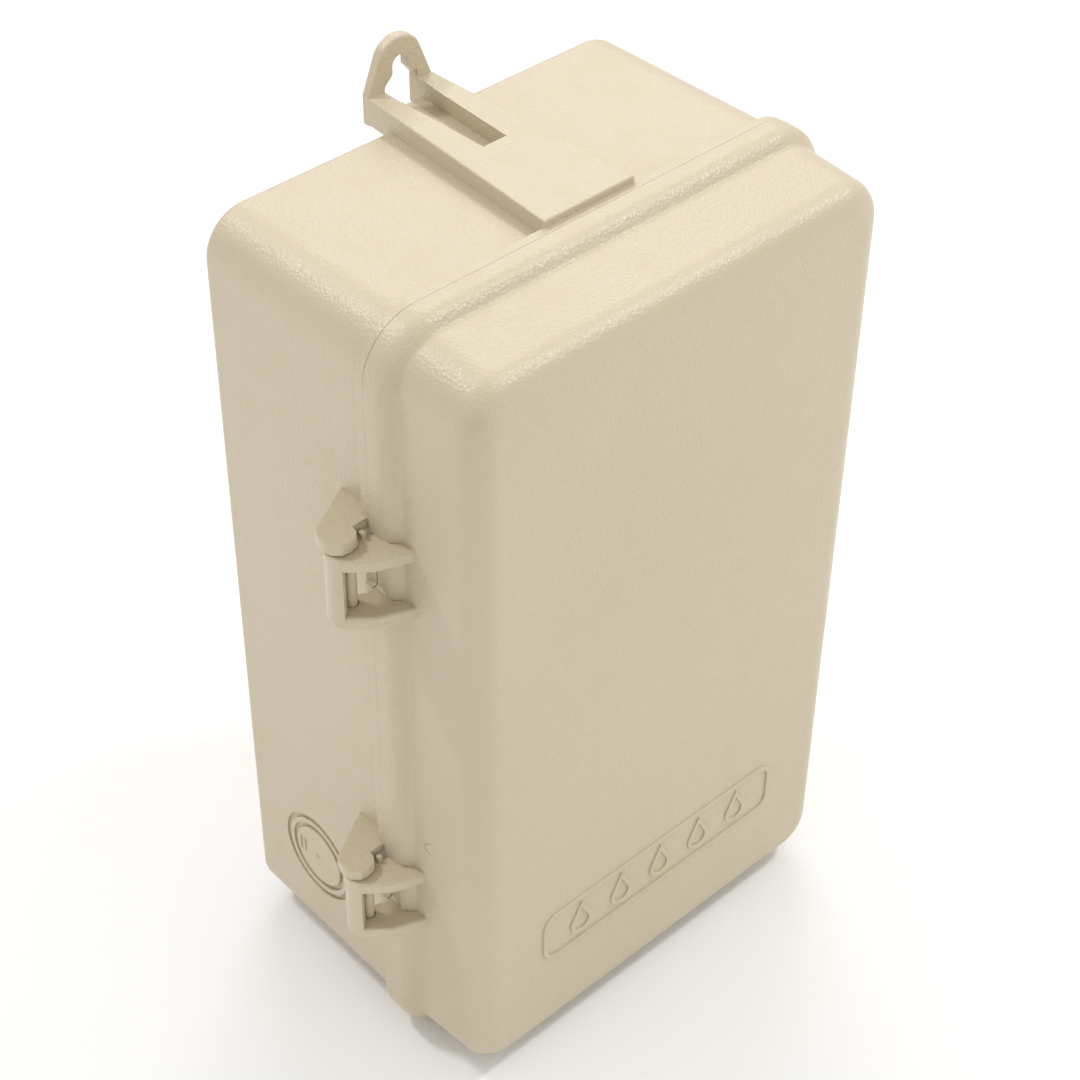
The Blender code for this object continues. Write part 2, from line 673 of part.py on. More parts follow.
def build_dial(dial):
    front = dial_rear - dial_thickness
    disc = turned("day_dial", dial, (
        (0.0, dial_rear + 2.4 * mm), (8.0 * mm, dial_rear + 2.4 * mm), (8.0 * mm, dial_rear),
        (dial_radius - 0.6 * mm, dial_rear), (dial_radius, dial_rear - 0.6 * mm),
        (dial_radius, front + 0.4 * mm), (dial_radius - 0.4 * mm, front),
        (dial_radius - 4.0 * mm, front), (dial_radius - 4.4 * mm, front + 0.5 * mm),
        (9.0 * mm, front + 0.5 * mm), (9.0 * mm, front), (0.0, front)), 48)
    cut(disc, rod("dial_bore", dial, 3.3 * mm, dial_rear + 4 * mm, front - 2 * mm))
    stud = (dial[0] + calendar_offset[0], dial[1] + calendar_offset[1])
    cut(disc, rod("dial_stud_hole", stud, 1.7 * mm, dial_rear + 4 * mm, front - 2 * mm, "y", 16))
    pivot = (dial[0], 0.0, dial[1])
    finish(disc, white, 0.45, pivot=pivot)
    nut = prism("dial_nut", circle(dial, 5.2 * mm, 6), front - gap, front - 3.0 * mm)
    cut(nut, rod("dial_nut_bore", dial, 3.3 * mm, front + 1 * mm, front - 5 * mm))
    finish(nut, brass, 0.3, 1.0, pivot=pivot)
    for number, hour in enumerate(tripper_hours, 1):
        build_tripper("tripper_%d" % number, dial, front, hour, red if number % 2 else green)
    return stud, front


def build_tripper(name, dial, front, hour, colour):
    """A clamp over the dial's rim with a thumb screw in front."""
    middle = Vector((dial_radius, 0.0, 0.0))
    clamp = block(name, middle + Vector((-5.0 * mm, front - 2.6 * mm, -3.0 * mm)),
                  middle + Vector((4.5 * mm, dial_rear + 1.8 * mm, 3.0 * mm)))
    slot = block(name + "_slot", middle + Vector((-7.0 * mm, front - gap, -5.0 * mm)),
                 middle + Vector((gap, dial_rear + gap, 5.0 * mm)))
    cut(clamp, slot)
    thumb = rod(name + "_thumb", (dial_radius - 1.0 * mm, 0.0), 2.4 * mm,
                front - 2.0 * mm, front - 5.2 * mm, "y", 12)
    join(clamp, thumb)
    angle = math.pi / 2 - math.tau * hour / 24
    turn = Matrix.Translation((dial[0], 0.0, dial[1])) @ Matrix.Rotation(-angle, 4, "Y")
    for thing in (clamp, slot, thumb):
        thing.data.transform(turn)
    finish(clamp, colour, 0.45, pivot=(dial[0], 0.0, dial[1]))


def build_calendar(stud, dial_front):
    """A fourteen tooth star wheel on a stud through the dial."""
    rear = dial_front - 1.0 * mm
    front = rear - 1.8 * mm
    points = []
    for tooth in range(14):
        middle = math.pi / 2 + math.tau * tooth / 14
        for radius, share in ((10.6, -0.5), (calendar_radius / mm, -0.22), (calendar_radius / mm, 0.22)):
            angle = middle + share * math.tau / 14
            points.append((stud[0] + radius * mm * math.cos(angle), stud[1] + radius * mm * math.sin(angle)))
    wheel = prism("calendar_wheel", points, rear, front)
    cut(wheel, rod("calendar_bore", stud, 2.3 * mm, rear + 1 * mm, front - 1 * mm))
    for number in range(14):
        angle = math.pi / 2 + math.tau * (number + 0.5) / 14
        place = (stud[0] + 8.2 * mm * math.cos(angle), stud[1] + 8.2 * mm * math.sin(angle))
        join(wheel, rod("calendar_pin_%d" % number, place, 0.9 * mm, rear - 1 * mm, front - 1.6 * mm, "y", 8))
    pivot = (stud[0], 0.0, stud[1])
    finish(wheel, yellow, 0.4, pivot=pivot)
    rivet = turned("calendar_stud", stud, (
        (0.0, dial_rear + 2.0 * mm), (3.0 * mm, dial_rear + 2.0 * mm), (3.0 * mm, dial_rear + gap),
        (1.4 * mm, dial_rear + gap), (1.4 * mm, dial_front - 0.7 * mm), (2.0 * mm, dial_front - 0.7 * mm),
        (2.0 * mm, front - 0.4 * mm), (3.4 * mm, front - 0.4 * mm), (3.4 * mm, front - 1.4 * mm),
        (0.0, front - 1.4 * mm)), 20)
    finish(rivet, zinc, 0.3, 1.0, pivot=(dial_x, 0.0, dial_z))


def build_trip_switch():
    """The switch beside the dial and the lever that the trippers throw."""
    front = plate_rear - plate_thickness - gap
    low = (38.0 * mm, -44.0 * mm, 140.0 * mm)
    switch = block("switch_block", low, (54.0 * mm, front, 182.0 * mm))
    bevel = block("switch_step", (37 * mm, -45 * mm, 168 * mm), (55 * mm, -34 * mm, 183 * mm))
    cut(switch, bevel)
    pivot = trip_pivot
    cut(switch, rod("switch_bore", pivot, 2.0 * mm, -30 * mm, -46 * mm, "y", 16))
    finish(switch, black, 0.5)
    lever = rod("trip_lever", pivot, 4.6 * mm, -44.4 * mm, -48.4 * mm, "y", 20)
    join(lever, rod("lever_pivot", pivot, 1.6 * mm, -34 * mm, -46 * mm, "y", 16))
    handle = prism("lever_handle", [
        (pivot[0] - 2.4 * mm, pivot[1]), (pivot[0] + 2.4 * mm, pivot[1]),
        (pivot[0] + 1.8 * mm, pivot[1] - 21 * mm), (pivot[0] - 1.8 * mm, pivot[1] - 21 * mm),
    ], -44.4 * mm, -48.4 * mm)
    join(lever, handle)
    join(lever, rod("lever_tip", (pivot[0], pivot[1] - 20 * mm), 3.4 * mm, -44.4 * mm, -53.0 * mm, "y", 16))
    feeler = prism("lever_feeler", [
        (pivot[0] - 1.8 * mm, pivot[1] + 1 * mm), (pivot[0], pivot[1] + 3.5 * mm),
        (pivot[0] - 8.0 * mm, pivot[1] + 8.5 * mm), (pivot[0] - 9.5 * mm, pivot[1] + 6.2 * mm),
    ], -44.4 * mm, -48.4 * mm)
    join(lever, feeler)
    finish(lever, red, 0.4, pivot=(pivot[0], 0.0, pivot[1]))


# Lower half

def build_transformer():
    front = plate_rear - plate_thickness - gap
    core = block("transformer_core", (-46 * mm, -46 * mm, 58 * mm), (-10 * mm, front, 102 * mm))
    window = block("transformer_window", (-47 * mm, -41.5 * mm, 65 * mm), (-9 * mm, -23 * mm, 95 * mm))
    cut(core, window)
    limb = block("transformer_limb", (-37 * mm, -35.5 * mm, 64 * mm), (-19 * mm, -29 * mm, 96 * mm))
    join(core, limb)
    finish(core, grey, 0.5, 0.7)
    winding = block("transformer_winding", (-50 * mm, -41.2 * mm, 65.3 * mm),
                    (-6 * mm, -23.3 * mm, 94.7 * mm))
    cut(winding, block("winding_bore", (-37.3 * mm, -35.8 * mm, 64 * mm), (-18.7 * mm, -28.7 * mm, 96 * mm)))
    finish(winding, yellow, 0.6)


def build_interval_timer():
    front = plate_rear - plate_thickness - gap
    centre = timer_centre
    can = turned("interval_timer", centre, (
        (0.0, front), (17.0 * mm, front), (17.0 * mm, -43.0 * mm), (16.0 * mm, -44.0 * mm),
        (5.0 * mm, -44.0 * mm), (5.0 * mm, -46.0 * mm), (0.0, -46.0 * mm)), 32)
    cut(can, rod("timer_bore", centre, 2.3 * mm, -38 * mm, -48 * mm, "y", 16))
    finish(can, zinc, 0.4, 0.8)
    knob = turned("run_time_knob", centre, (
        (0.0, -40.0 * mm), (1.9 * mm, -40.0 * mm), (1.9 * mm, -54.0 * mm), (14.5 * mm, -54.0 * mm),
        (14.5 * mm, -57.0 * mm), (11.0 * mm, -58.0 * mm), (9.6 * mm, -68.0 * mm), (8.8 * mm, -68.8 * mm),
        (0.0, -68.8 * mm)), 32)
    pointer = prism("knob_pointer", [
        (centre[0] - 1.2 * mm, centre[1] + 2 * mm), (centre[0] + 1.2 * mm, centre[1] + 2 * mm),
        (centre[0] + 0.6 * mm, centre[1] + 14 * mm), (centre[0] - 0.6 * mm, centre[1] + 14 * mm),
    ], -57.0 * mm, -69.4 * mm)
    join(knob, pointer)
    finish(knob, black, 0.45, pivot=(centre[0], 0.0, centre[1]))
    return centre


def build_selector():
    """A three-position rocker: automatic, off and manual."""
    pivot = selector_pivot
    front = plate_rear - plate_thickness - gap
    body = block("selector_switch", (40 * mm, -44 * mm, 72 * mm), (52 * mm, front, 96 * mm))
    cut(body, block("selector_slot", (43.6 * mm, -45 * mm, 76 * mm), (48.4 * mm, -30 * mm, 92 * mm)))
    finish(body, black, 0.5)
    lever = prism("selector_lever", [
        (-33.0 * mm, 82.6 * mm), (-33.0 * mm, 85.4 * mm), (-60.0 * mm, 86.4 * mm), (-61.5 * mm, 84.0 * mm),
        (-60.0 * mm, 81.6 * mm),
    ], 44.6 * mm, 47.4 * mm, "x")
    finish(lever, white, 0.4, pivot=(pivot[0], -36.0 * mm, pivot[1]))
    return pivot


def build_front_panel(knob_centre, lever_centre):
    rear = panel_rear
    front = rear - panel_thickness
    outline = rounded_outline(plate_half_width, panel_low, panel_high, 4 * mm, 3)
    panel = loft("front_panel", [(rear, outline), (front, outline)])
    cut(panel, rod("panel_knob_hole", knob_centre, 5.0 * mm, rear + 1 * mm, front - 1 * mm))
    cut(panel, block("panel_lever_slot",
                     (lever_centre[0] - 2.6 * mm, front - 1 * mm, lever_centre[1] - 9 * mm),
                     (lever_centre[0] + 2.6 * mm, rear + 1 * mm, lever_centre[1] + 9 * mm)))
    base = plate_rear - plate_thickness - gap
    for number, place in enumerate(panel_post_places, 1):
        cut(panel, rod("panel_hole_%d" % number, place, 1.8 * mm,
                       rear + 1 * mm, front - 1 * mm, "y", 16))
        post = rod("panel_post_%d" % number, place, 3.0 * mm, base, rear + gap, "y", 6)
        cut(post, rod("panel_post_bore_%d" % number, place, 1.7 * mm, rear + 10 * mm, rear - 1 * mm, "y", 12))
        finish(post, brass, 0.3, 1.0)
        head = screw("panel_screw_%d" % number, place, front - gap, rear + 8 * mm,
                     1.4 * mm, 2.8 * mm, 1.9 * mm)
        finish(head, zinc, 0.3, 1.0)
    finish(panel, grey, 0.5)


def terminal_places():
    return [((index - 2.5) * terminal_pitch, terminal_height) for index in range(terminal_count)]


def build_terminals():
    front = plate_rear - plate_thickness - gap
    strip = block("terminal_block", (-47 * mm, -31 * mm, 30 * mm), (47 * mm, front, 50 * mm))
    for number, (x, z) in enumerate(terminal_places()):
        cut(strip, block("terminal_cell_%d" % number, (x - 5.6 * mm, -33 * mm, 32.5 * mm),
                         (x + 5.6 * mm, -25 * mm, 52 * mm)))
        cut(strip, rod("terminal_bore_%d" % number, (x, z + 3 * mm), 2.1 * mm, -20 * mm, -27 * mm, "y", 12))
    finish(strip, black, 0.5)
    for number, (x, z) in enumerate(terminal_places(), 1):
        head = screw("terminal_screw_%d" % number, (x, z + 3 * mm), -25.0 * mm - 1.6 * mm, -21 * mm,
                     1.8 * mm, 3.6 * mm, 2.2 * mm)
        finish(head, brass, 0.3, 1.0)


def build_ground():
    front = plate_rear - plate_thickness - gap
    centre = ground_centre
    lug = block("ground_lug", (centre[0] - 4 * mm, front - 7 * mm, centre[1] - 5 * mm),
                (centre[0] + 4 * mm, front, centre[1] + 5 * mm))
    cut(lug, rod("ground_wire_hole", (front - 3.4 * mm, centre[1]), 1.8 * mm,
                 centre[0] - 6 * mm, centre[0] + 6 * mm, "x", 16))
    cut(lug, rod("ground_screw_bore", centre, 2.0 * mm, front - 2.0 * mm, front - 9 * mm, "y", 16))
    finish(lug, brass, 0.35, 1.0)
    head = screw("ground_screw", centre, front - 7 * mm - gap, front - 5.4 * mm, 1.7 * mm, 3.4 * mm, 2.2 * mm)
    finish(head, green, 0.4, 0.3)


def build_lead(name, points, radius, colour):
    """A round lead along a smooth curve through its points."""
    curve = bpy.data.curves.new(name, "CURVE")
    curve.dimensions = "3D"
    curve.bevel_depth = radius
    curve.bevel_resolution = 2
    curve.use_fill_caps = True
    smooth = catmull_rom([Vector(point) * mm for point in points], 3)
    spline = curve.splines.new("POLY")
    spline.points.add(len(smooth) - 1)
    for point, place in zip(spline.points, smooth):
        point.co = (*place, 1.0)
    lead = bpy.data.objects.new(name, curve)
    bpy.context.collection.objects.link(lead)
    lead.parent = datum
    curve.materials.append(make_material(name + "_finish", colour, 0.45, 0.0))


def catmull_rom(points, steps):
    """Points on one smooth curve through all the given points."""
    padded = [2 * points[0] - points[1], *points, 2 * points[-1] - points[-2]]
    result = []
    for index in range(1, len(padded) - 2):
        before, here, there, after = padded[index - 1:index + 3]
        for step in range(steps):
            t = step / steps
            result.append(0.5 * (2 * here + (there - before) * t
                                 + (2 * before - 5 * here + 4 * there - after) * t * t
                                 + (3 * here - before - 3 * there + after) * t * t * t))
    result.append(points[-1])
    return result


def build_leads():
    for name, colour, points in lead_routes:
        build_lead(name, points, lead_radius, colour)


def main():
    build_case()
    build_cover()
    build_schedule_card()
    build_mechanism_plate()
    dial, idler, pinion = clock_places()
    build_motor(pinion)
    build_gears(dial, idler, pinion)
    build_bridge(dial, idler)
    stud, dial_front = build_dial(dial)
    build_calendar(stud, dial_front)
    build_trip_switch()
    build_transformer()
    knob_centre = build_interval_timer()
    lever_centre = build_selector()
    build_front_panel(knob_centre, lever_centre)
    build_terminals()
    build_ground()
    build_leads()


clear_scene()
datum = bpy.data.objects.new("case_datum", None)
bpy.context.collection.objects.link(datum)
datum.location = (0.0, -wall_gap, -ear_face_height)
main()
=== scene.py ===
import json
import math

import bmesh
import bpy
from mathutils import Matrix, Vector

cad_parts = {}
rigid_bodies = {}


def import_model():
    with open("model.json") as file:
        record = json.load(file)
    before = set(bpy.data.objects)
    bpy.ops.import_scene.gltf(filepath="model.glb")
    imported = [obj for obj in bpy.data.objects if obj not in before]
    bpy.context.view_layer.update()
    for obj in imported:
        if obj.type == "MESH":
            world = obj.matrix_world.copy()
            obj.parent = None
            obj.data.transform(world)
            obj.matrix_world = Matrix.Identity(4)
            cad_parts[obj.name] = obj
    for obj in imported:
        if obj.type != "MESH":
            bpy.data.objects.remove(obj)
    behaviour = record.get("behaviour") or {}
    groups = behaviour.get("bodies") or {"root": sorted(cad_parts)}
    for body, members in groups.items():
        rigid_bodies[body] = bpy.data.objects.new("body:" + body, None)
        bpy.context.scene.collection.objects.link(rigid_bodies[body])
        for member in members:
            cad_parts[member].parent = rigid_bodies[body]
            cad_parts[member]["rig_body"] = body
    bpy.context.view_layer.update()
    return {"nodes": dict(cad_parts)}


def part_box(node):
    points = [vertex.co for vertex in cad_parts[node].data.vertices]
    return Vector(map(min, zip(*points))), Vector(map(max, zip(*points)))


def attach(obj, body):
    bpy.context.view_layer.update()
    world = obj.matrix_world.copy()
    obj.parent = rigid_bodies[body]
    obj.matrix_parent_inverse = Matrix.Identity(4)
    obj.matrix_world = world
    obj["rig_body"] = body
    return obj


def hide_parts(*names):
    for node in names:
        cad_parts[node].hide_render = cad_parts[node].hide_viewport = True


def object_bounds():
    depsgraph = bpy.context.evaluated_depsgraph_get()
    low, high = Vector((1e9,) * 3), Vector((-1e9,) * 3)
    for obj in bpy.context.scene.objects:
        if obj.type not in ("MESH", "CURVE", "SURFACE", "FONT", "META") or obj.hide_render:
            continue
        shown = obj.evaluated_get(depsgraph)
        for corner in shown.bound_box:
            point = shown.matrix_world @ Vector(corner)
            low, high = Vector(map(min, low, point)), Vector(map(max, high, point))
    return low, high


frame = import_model()

# Shapes are drawn in millimetres from the case's datum: x right, y = 0 at its back, z = 0 at its base
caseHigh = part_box("case")[1]
datum = Vector((0.0, caseHigh.y - 0.0095, caseHigh.z - 0.254))
toFrame = Matrix.Translation(datum) @ Matrix.Scale(0.001, 4)


# Material helpers

def newGroup(name, inputs, outputs):
    group = bpy.data.node_groups.new(name, "ShaderNodeTree")
    for label, kind, value in inputs:
        socket = group.interface.new_socket(label, in_out="INPUT", socket_type="NodeSocket" + kind)
        if value is not None:
            socket.default_value = value
    for label, kind in outputs:
        group.interface.new_socket(label, in_out="OUTPUT", socket_type="NodeSocket" + kind)
    return group, group.nodes.new("NodeGroupInput").outputs, group.nodes.new("NodeGroupOutput").inputs


def feed(tree, socket, value):
    if isinstance(value, bpy.types.NodeSocket):
        tree.links.new(value, socket)
    elif value is not None:
        socket.default_value = value


def addNode(tree, kind, settings=None, **inputs):
    node = tree.nodes.new("ShaderNode" + kind)
    for key, value in (settings or {}).items():
        setattr(node, key, value)
    for key, value in inputs.items():
        feed(tree, node.inputs[key.replace("_", " ")], value)
    return node


def addMath(tree, operation, first, second=None, clamp=False):
    node = addNode(tree, "Math", {"operation": operation, "use_clamp": clamp})
    feed(tree, node.inputs[0], first)
    feed(tree, node.inputs[1], second)
    return node.outputs[0]


def addRange(tree, value, low, high, outLow=0.0, outHigh=1.0):
    node = addNode(tree, "MapRange", {"clamp": True}, Value=value, From_Min=low, From_Max=high,
                   To_Min=outLow, To_Max=outHigh)
    return node.outputs[0]


def addMix(tree, factor, first, second):
    node = addNode(tree, "Mix", {"data_type": "RGBA"})
    feed(tree, node.inputs[0], factor)
    feed(tree, node.inputs[6], first)
    feed(tree, node.inputs[7], second)
    return node.outputs[2]


def makeGrainGroup():  # spark-eroded mould grain: soft cells with a finer roughness over them
    group, given, result = newGroup(
        "mouldGrain", [("Vector", "Vector", None), ("Cells", "Float", 900.0), ("Fine", "Float", 0.4)],
        [("Height", "Float"), ("Pits", "Float")])
    cells = addNode(group, "TexVoronoi", None, Vector=given["Vector"], Scale=given["Cells"])
    finer = addMath(group, "MULTIPLY", given["Cells"], 2.7)
    cloud = addNode(group, "TexNoise", None, Vector=given["Vector"], Scale=finer, Detail=1.0)
    raised = addMath(group, "MULTIPLY", cloud.outputs[0], given["Fine"])
    group.links.new(addMath(group, "ADD", cells.outputs["Distance"], raised), result["Height"])
    group.links.new(addRange(group, cells.outputs["Distance"], 0.25, 0.7), result["Pits"])
    return group


def makeToneGroup():  # slow drift of colour over a surface, with small handling marks
    group, given, result = newGroup(
        "toneDrift", [("Vector", "Vector", None), ("Colour", "Color", (0.8, 0.8, 0.8, 1)),
                      ("Drift", "Color", (0.7, 0.7, 0.7, 1)), ("Amount", "Float", 0.3), ("Scale", "Float", 14.0)],
        [("Colour", "Color"), ("Marks", "Float")])
    cloud = addNode(group, "TexNoise", None, Vector=given["Vector"], Scale=given["Scale"], Detail=4.0)
    patch = addMath(group, "MULTIPLY", addRange(group, cloud.outputs[0], 0.35, 0.7), given["Amount"])
    group.links.new(addMix(group, patch, given["Colour"], given["Drift"]), result["Colour"])
    often = addMath(group, "MULTIPLY", given["Scale"], 6.0)
    rub = addNode(group, "TexNoise", None, Vector=given["Vector"], Scale=often, Detail=6.0)
    group.links.new(addRange(group, rub.outputs[0], 0.5, 0.75), result["Marks"])
    return group


def makeSpeckGroup():  # scattered dots of dirt pressed into the surface
    group, given, result = newGroup(
        "specks", [("Vector", "Vector", None), ("Spacing", "Float", 60.0), ("Size", "Float", 0.05)],
        [("Mask", "Float")])
    dots = addNode(group, "TexVoronoi", None, Vector=given["Vector"], Scale=given["Spacing"])
    inside = addMath(group, "LESS_THAN", dots.outputs["Distance"], given["Size"])
    pick = addNode(group, "SeparateColor", None, Color=dots.outputs["Color"])
    some = addMath(group, "GREATER_THAN", pick.outputs[0], 0.6)
    group.links.new(addMath(group, "MULTIPLY", inside, some), result["Mask"])
    return group


def makeDrawnGroup():  # fine lines left by rolling or turning, along one direction
    group, given, result = newGroup(
        "drawnLines", [("Vector", "Vector", None), ("Across", "Vector", (3000.0, 3000.0, 60.0))],
        [("Height", "Float"), ("Streaks", "Float")])
    stretched = addNode(group, "VectorMath", {"operation": "MULTIPLY"})
    feed(group, stretched.inputs[0], given["Vector"])
    feed(group, stretched.inputs[1], given["Across"])
    lines = addNode(group, "TexNoise", None, Vector=stretched.outputs[0], Scale=1.0, Detail=3.0)
    group.links.new(lines.outputs[0], result["Height"])
    group.links.new(addRange(group, lines.outputs[0], 0.4, 0.65), result["Streaks"])
    return group


grainGroup = makeGrainGroup()
toneGroup = makeToneGroup()
speckGroup = makeSpeckGroup()
drawnGroup = makeDrawnGroup()


def useGroup(tree, group, **inputs):
    node = tree.nodes.new("ShaderNodeGroup")
    node.node_tree = group
    for key, value in inputs.items():
        feed(tree, node.inputs[key], value)
    return node.outputs


def startMaterial(name, metallic=0.0):
    material = bpy.data.materials.new(name)
    material.use_nodes = True
    tree = material.node_tree
    shader = tree.nodes["Principled BSDF"]
    shader.inputs["Metallic"].default_value = metallic
    where = tree.nodes.new("ShaderNodeTexCoord").outputs["Object"]
    return material, tree, shader, where


def colour4(values):
    return (values[0], values[1], values[2], 1.0)


def plasticFinish(name, colour, drift, roughness=0.42, cells=900.0, depth=0.00006, amount=0.3, specks=0.0,
                  speckColour=(0.2, 0.15, 0.1)):
    material, tree, shader, where = startMaterial(name)
    tone = useGroup(tree, toneGroup, Vector=where, Colour=colour4(colour), Drift=colour4(drift), Amount=amount)
    grain = useGroup(tree, grainGroup, Vector=where, Cells=cells)
    shown = tone["Colour"]
    if specks:
        dots = useGroup(tree, speckGroup, Vector=where, Spacing=specks)
        shown = addMix(tree, dots["Mask"], shown, colour4(speckColour))
    tree.links.new(shown, shader.inputs["Base Color"])
    dull = addMath(tree, "MULTIPLY", tone["Marks"], 0.10)
    pitted = addMath(tree, "MULTIPLY_ADD", grain["Pits"], 0.10)
    pitted.node.inputs[2].default_value = roughness - 0.05
    tree.links.new(addMath(tree, "ADD", pitted, dull, True), shader.inputs["Roughness"])
    bump = addNode(tree, "Bump", None, Height=grain["Height"], Distance=depth, Strength=0.8)
    tree.links.new(bump.outputs[0], shader.inputs["Normal"])
    return material


def metalFinish(name, colour, drift, roughness=0.3, across=(2500.0, 2500.0, 50.0), depth=0.00002, amount=0.35):
    material, tree, shader, where = startMaterial(name, 1.0)
    tone = useGroup(tree, toneGroup, Vector=where, Colour=colour4(colour), Drift=colour4(drift), Amount=amount,
                    Scale=40.0)
    drawn = useGroup(tree, drawnGroup, Vector=where, Across=across)
    tree.links.new(tone["Colour"], shader.inputs["Base Color"])
    streak = addMath(tree, "MULTIPLY", drawn["Streaks"], 0.14)
    base = addMath(tree, "MULTIPLY_ADD", tone["Marks"], 0.16)
    base.node.inputs[2].default_value = roughness
    tree.links.new(addMath(tree, "ADD", streak, base, True), shader.inputs["Roughness"])
    bump = addNode(tree, "Bump", None, Height=drawn["Height"], Distance=depth, Strength=0.7)
    tree.links.new(bump.outputs[0], shader.inputs["Normal"])
    return material


def layeredFinish(name, colour, gapColour, pitch, axis, metallic, roughness):  # stacked sheets or wound turns
    material, tree, shader, where = startMaterial(name, metallic)
    split = addNode(tree, "SeparateXYZ", None, Vector=where)
    wave = addMath(tree, "SINE", addMath(tree, "MULTIPLY", split.outputs[axis], math.tau / pitch))
    line = addRange(tree, wave, -1.0, -0.55, 1.0, 0.0)
    tone = useGroup(tree, toneGroup, Vector=where, Colour=colour4(colour),
                    Drift=colour4([c * 0.7 for c in colour]), Amount=0.5, Scale=60.0)
    tree.links.new(addMix(tree, line, tone["Colour"], colour4(gapColour)), shader.inputs["Base Color"])
    rough = addMath(tree, "MULTIPLY_ADD", tone["Marks"], 0.2)
    rough.node.inputs[2].default_value = roughness
    tree.links.new(rough, shader.inputs["Roughness"])
    bump = addNode(tree, "Bump", None, Height=wave, Distance=0.0001, Strength=0.7)
    tree.links.new(bump.outputs[0], shader.inputs["Normal"])
    return material


def cardFinish(name, paper, ink, corner):  # a ruled blank table for the owner's programme
    material, tree, shader, where = startMaterial(name)
    split = addNode(tree, "SeparateXYZ", None, Vector=where)
    masks = []
    for axis, start, pitch in ((0, corner[0], 0.0095), (2, corner[2], 0.0078)):
        shifted = addMath(tree, "SUBTRACT", split.outputs[axis], start)
        part = addMath(tree, "FRACT", addMath(tree, "DIVIDE", shifted, pitch))
        masks.append(addMath(tree, "LESS_THAN", part, 0.00028 / pitch))
    lines = addMath(tree, "MAXIMUM", masks[0], masks[1])
    fibre = useGroup(tree, toneGroup, Vector=where, Colour=colour4(paper),
                     Drift=colour4([c * 0.9 for c in paper]), Amount=0.6, Scale=90.0)
    tree.links.new(addMix(tree, lines, fibre["Colour"], colour4(ink)), shader.inputs["Base Color"])
    shader.inputs["Roughness"].default_value = 0.75
    bump = addNode(tree, "Bump", None, Height=fibre["Marks"], Distance=0.00003, Strength=0.4)
    tree.links.new(bump.outputs[0], shader.inputs["Normal"])
    return material


enclosure = {"colour": (0.565, 0.485, 0.348), "drift": (0.535, 0.455, 0.320), "cells": 1150.0, "depth": 0.00013}

enclosureBeige = plasticFinish("enclosureBeige", enclosure["colour"], enclosure["drift"], 0.37,
                               enclosure["cells"], enclosure["depth"], 0.5, 26.0, (0.34, 0.26, 0.17))
dialWhite = plasticFinish("dialWhite", (0.83, 0.82, 0.77), (0.78, 0.76, 0.70), 0.35, 2500.0, 0.00001)
gearNylon = plasticFinish("gearNylon", (0.78, 0.77, 0.70), (0.70, 0.68, 0.60), 0.5, 1500.0, 0.00002)
calendarYellow = plasticFinish("calendarYellow", (0.80, 0.56, 0.07), (0.70, 0.45, 0.05), 0.38, 2000.0, 0.00001)
tripRed = plasticFinish("tripRed", (0.58, 0.035, 0.025), (0.45, 0.025, 0.02), 0.36, 2000.0, 0.00001)
tripGreen = plasticFinish("tripGreen", (0.03, 0.24, 0.08), (0.02, 0.17, 0.06), 0.36, 2000.0, 0.00001)
switchBlack = plasticFinish("switchBlack", (0.025, 0.025, 0.027), (0.045, 0.045, 0.045), 0.42, 1400.0, 0.00003)
printBlack = plasticFinish("printBlack", (0.02, 0.02, 0.022), (0.04, 0.04, 0.04), 0.6, 2500.0, 0.00001)
printWhite = plasticFinish("printWhite", (0.80, 0.80, 0.77), (0.72, 0.72, 0.69), 0.55, 2500.0, 0.00001)
panelPaint = plasticFinish("panelPaint", (0.20, 0.235, 0.245), (0.17, 0.20, 0.21), 0.45, 1800.0, 0.00004)
leadRed = plasticFinish("leadRed", (0.60, 0.04, 0.03), (0.5, 0.03, 0.02), 0.35, 2500.0, 0.00001)
leadWhite = plasticFinish("leadWhite", (0.78, 0.77, 0.73), (0.7, 0.69, 0.64), 0.35, 2500.0, 0.00001)
leadYellow = plasticFinish("leadYellow", (0.80, 0.56, 0.06), (0.7, 0.47, 0.05), 0.35, 2500.0, 0.00001)
zincPlate = metalFinish("zincPlate", (0.60, 0.61, 0.60), (0.50, 0.52, 0.50), 0.34)
zincScrew = metalFinish("zincScrew", (0.66, 0.66, 0.64), (0.55, 0.55, 0.52), 0.26, (2500.0, 60.0, 2500.0))
brassPart = metalFinish("brassPart", (0.76, 0.55, 0.25), (0.60, 0.40, 0.17), 0.28, (2500.0, 60.0, 2500.0))
groundGreen = metalFinish("groundGreen", (0.10, 0.36, 0.16), (0.07, 0.27, 0.12), 0.34)
coreSteel = layeredFinish("coreSteel", (0.13, 0.135, 0.15), (0.02, 0.02, 0.02), 0.0011, 1, 0.6, 0.5)
coilTape = layeredFinish("coilTape", (0.60, 0.36, 0.10), (0.32, 0.17, 0.05), 0.0032, 2, 0.0, 0.45)
print("materials ready")


# Modelling helpers: a builder is a bmesh in millimetres, a thing is an object in metres

def arcPoints(centre, radius, start, end, steps):
    angles = [math.radians(start + (end - start) * step / steps) for step in range(steps + 1)]
    return [(centre[0] + radius * math.cos(a), centre[1] + radius * math.sin(a)) for a in angles]


def roundEdges(builder, width, angle=35, segments=3):
    sharp = [edge for edge in builder.edges
             if len(edge.link_faces) == 2 and edge.calc_face_angle() > math.radians(angle)]
    bmesh.ops.bevel(builder, geom=sharp, affect="EDGES", offset=width, segments=segments,
                    profile=0.5, material=-1, clamp_overlap=True)


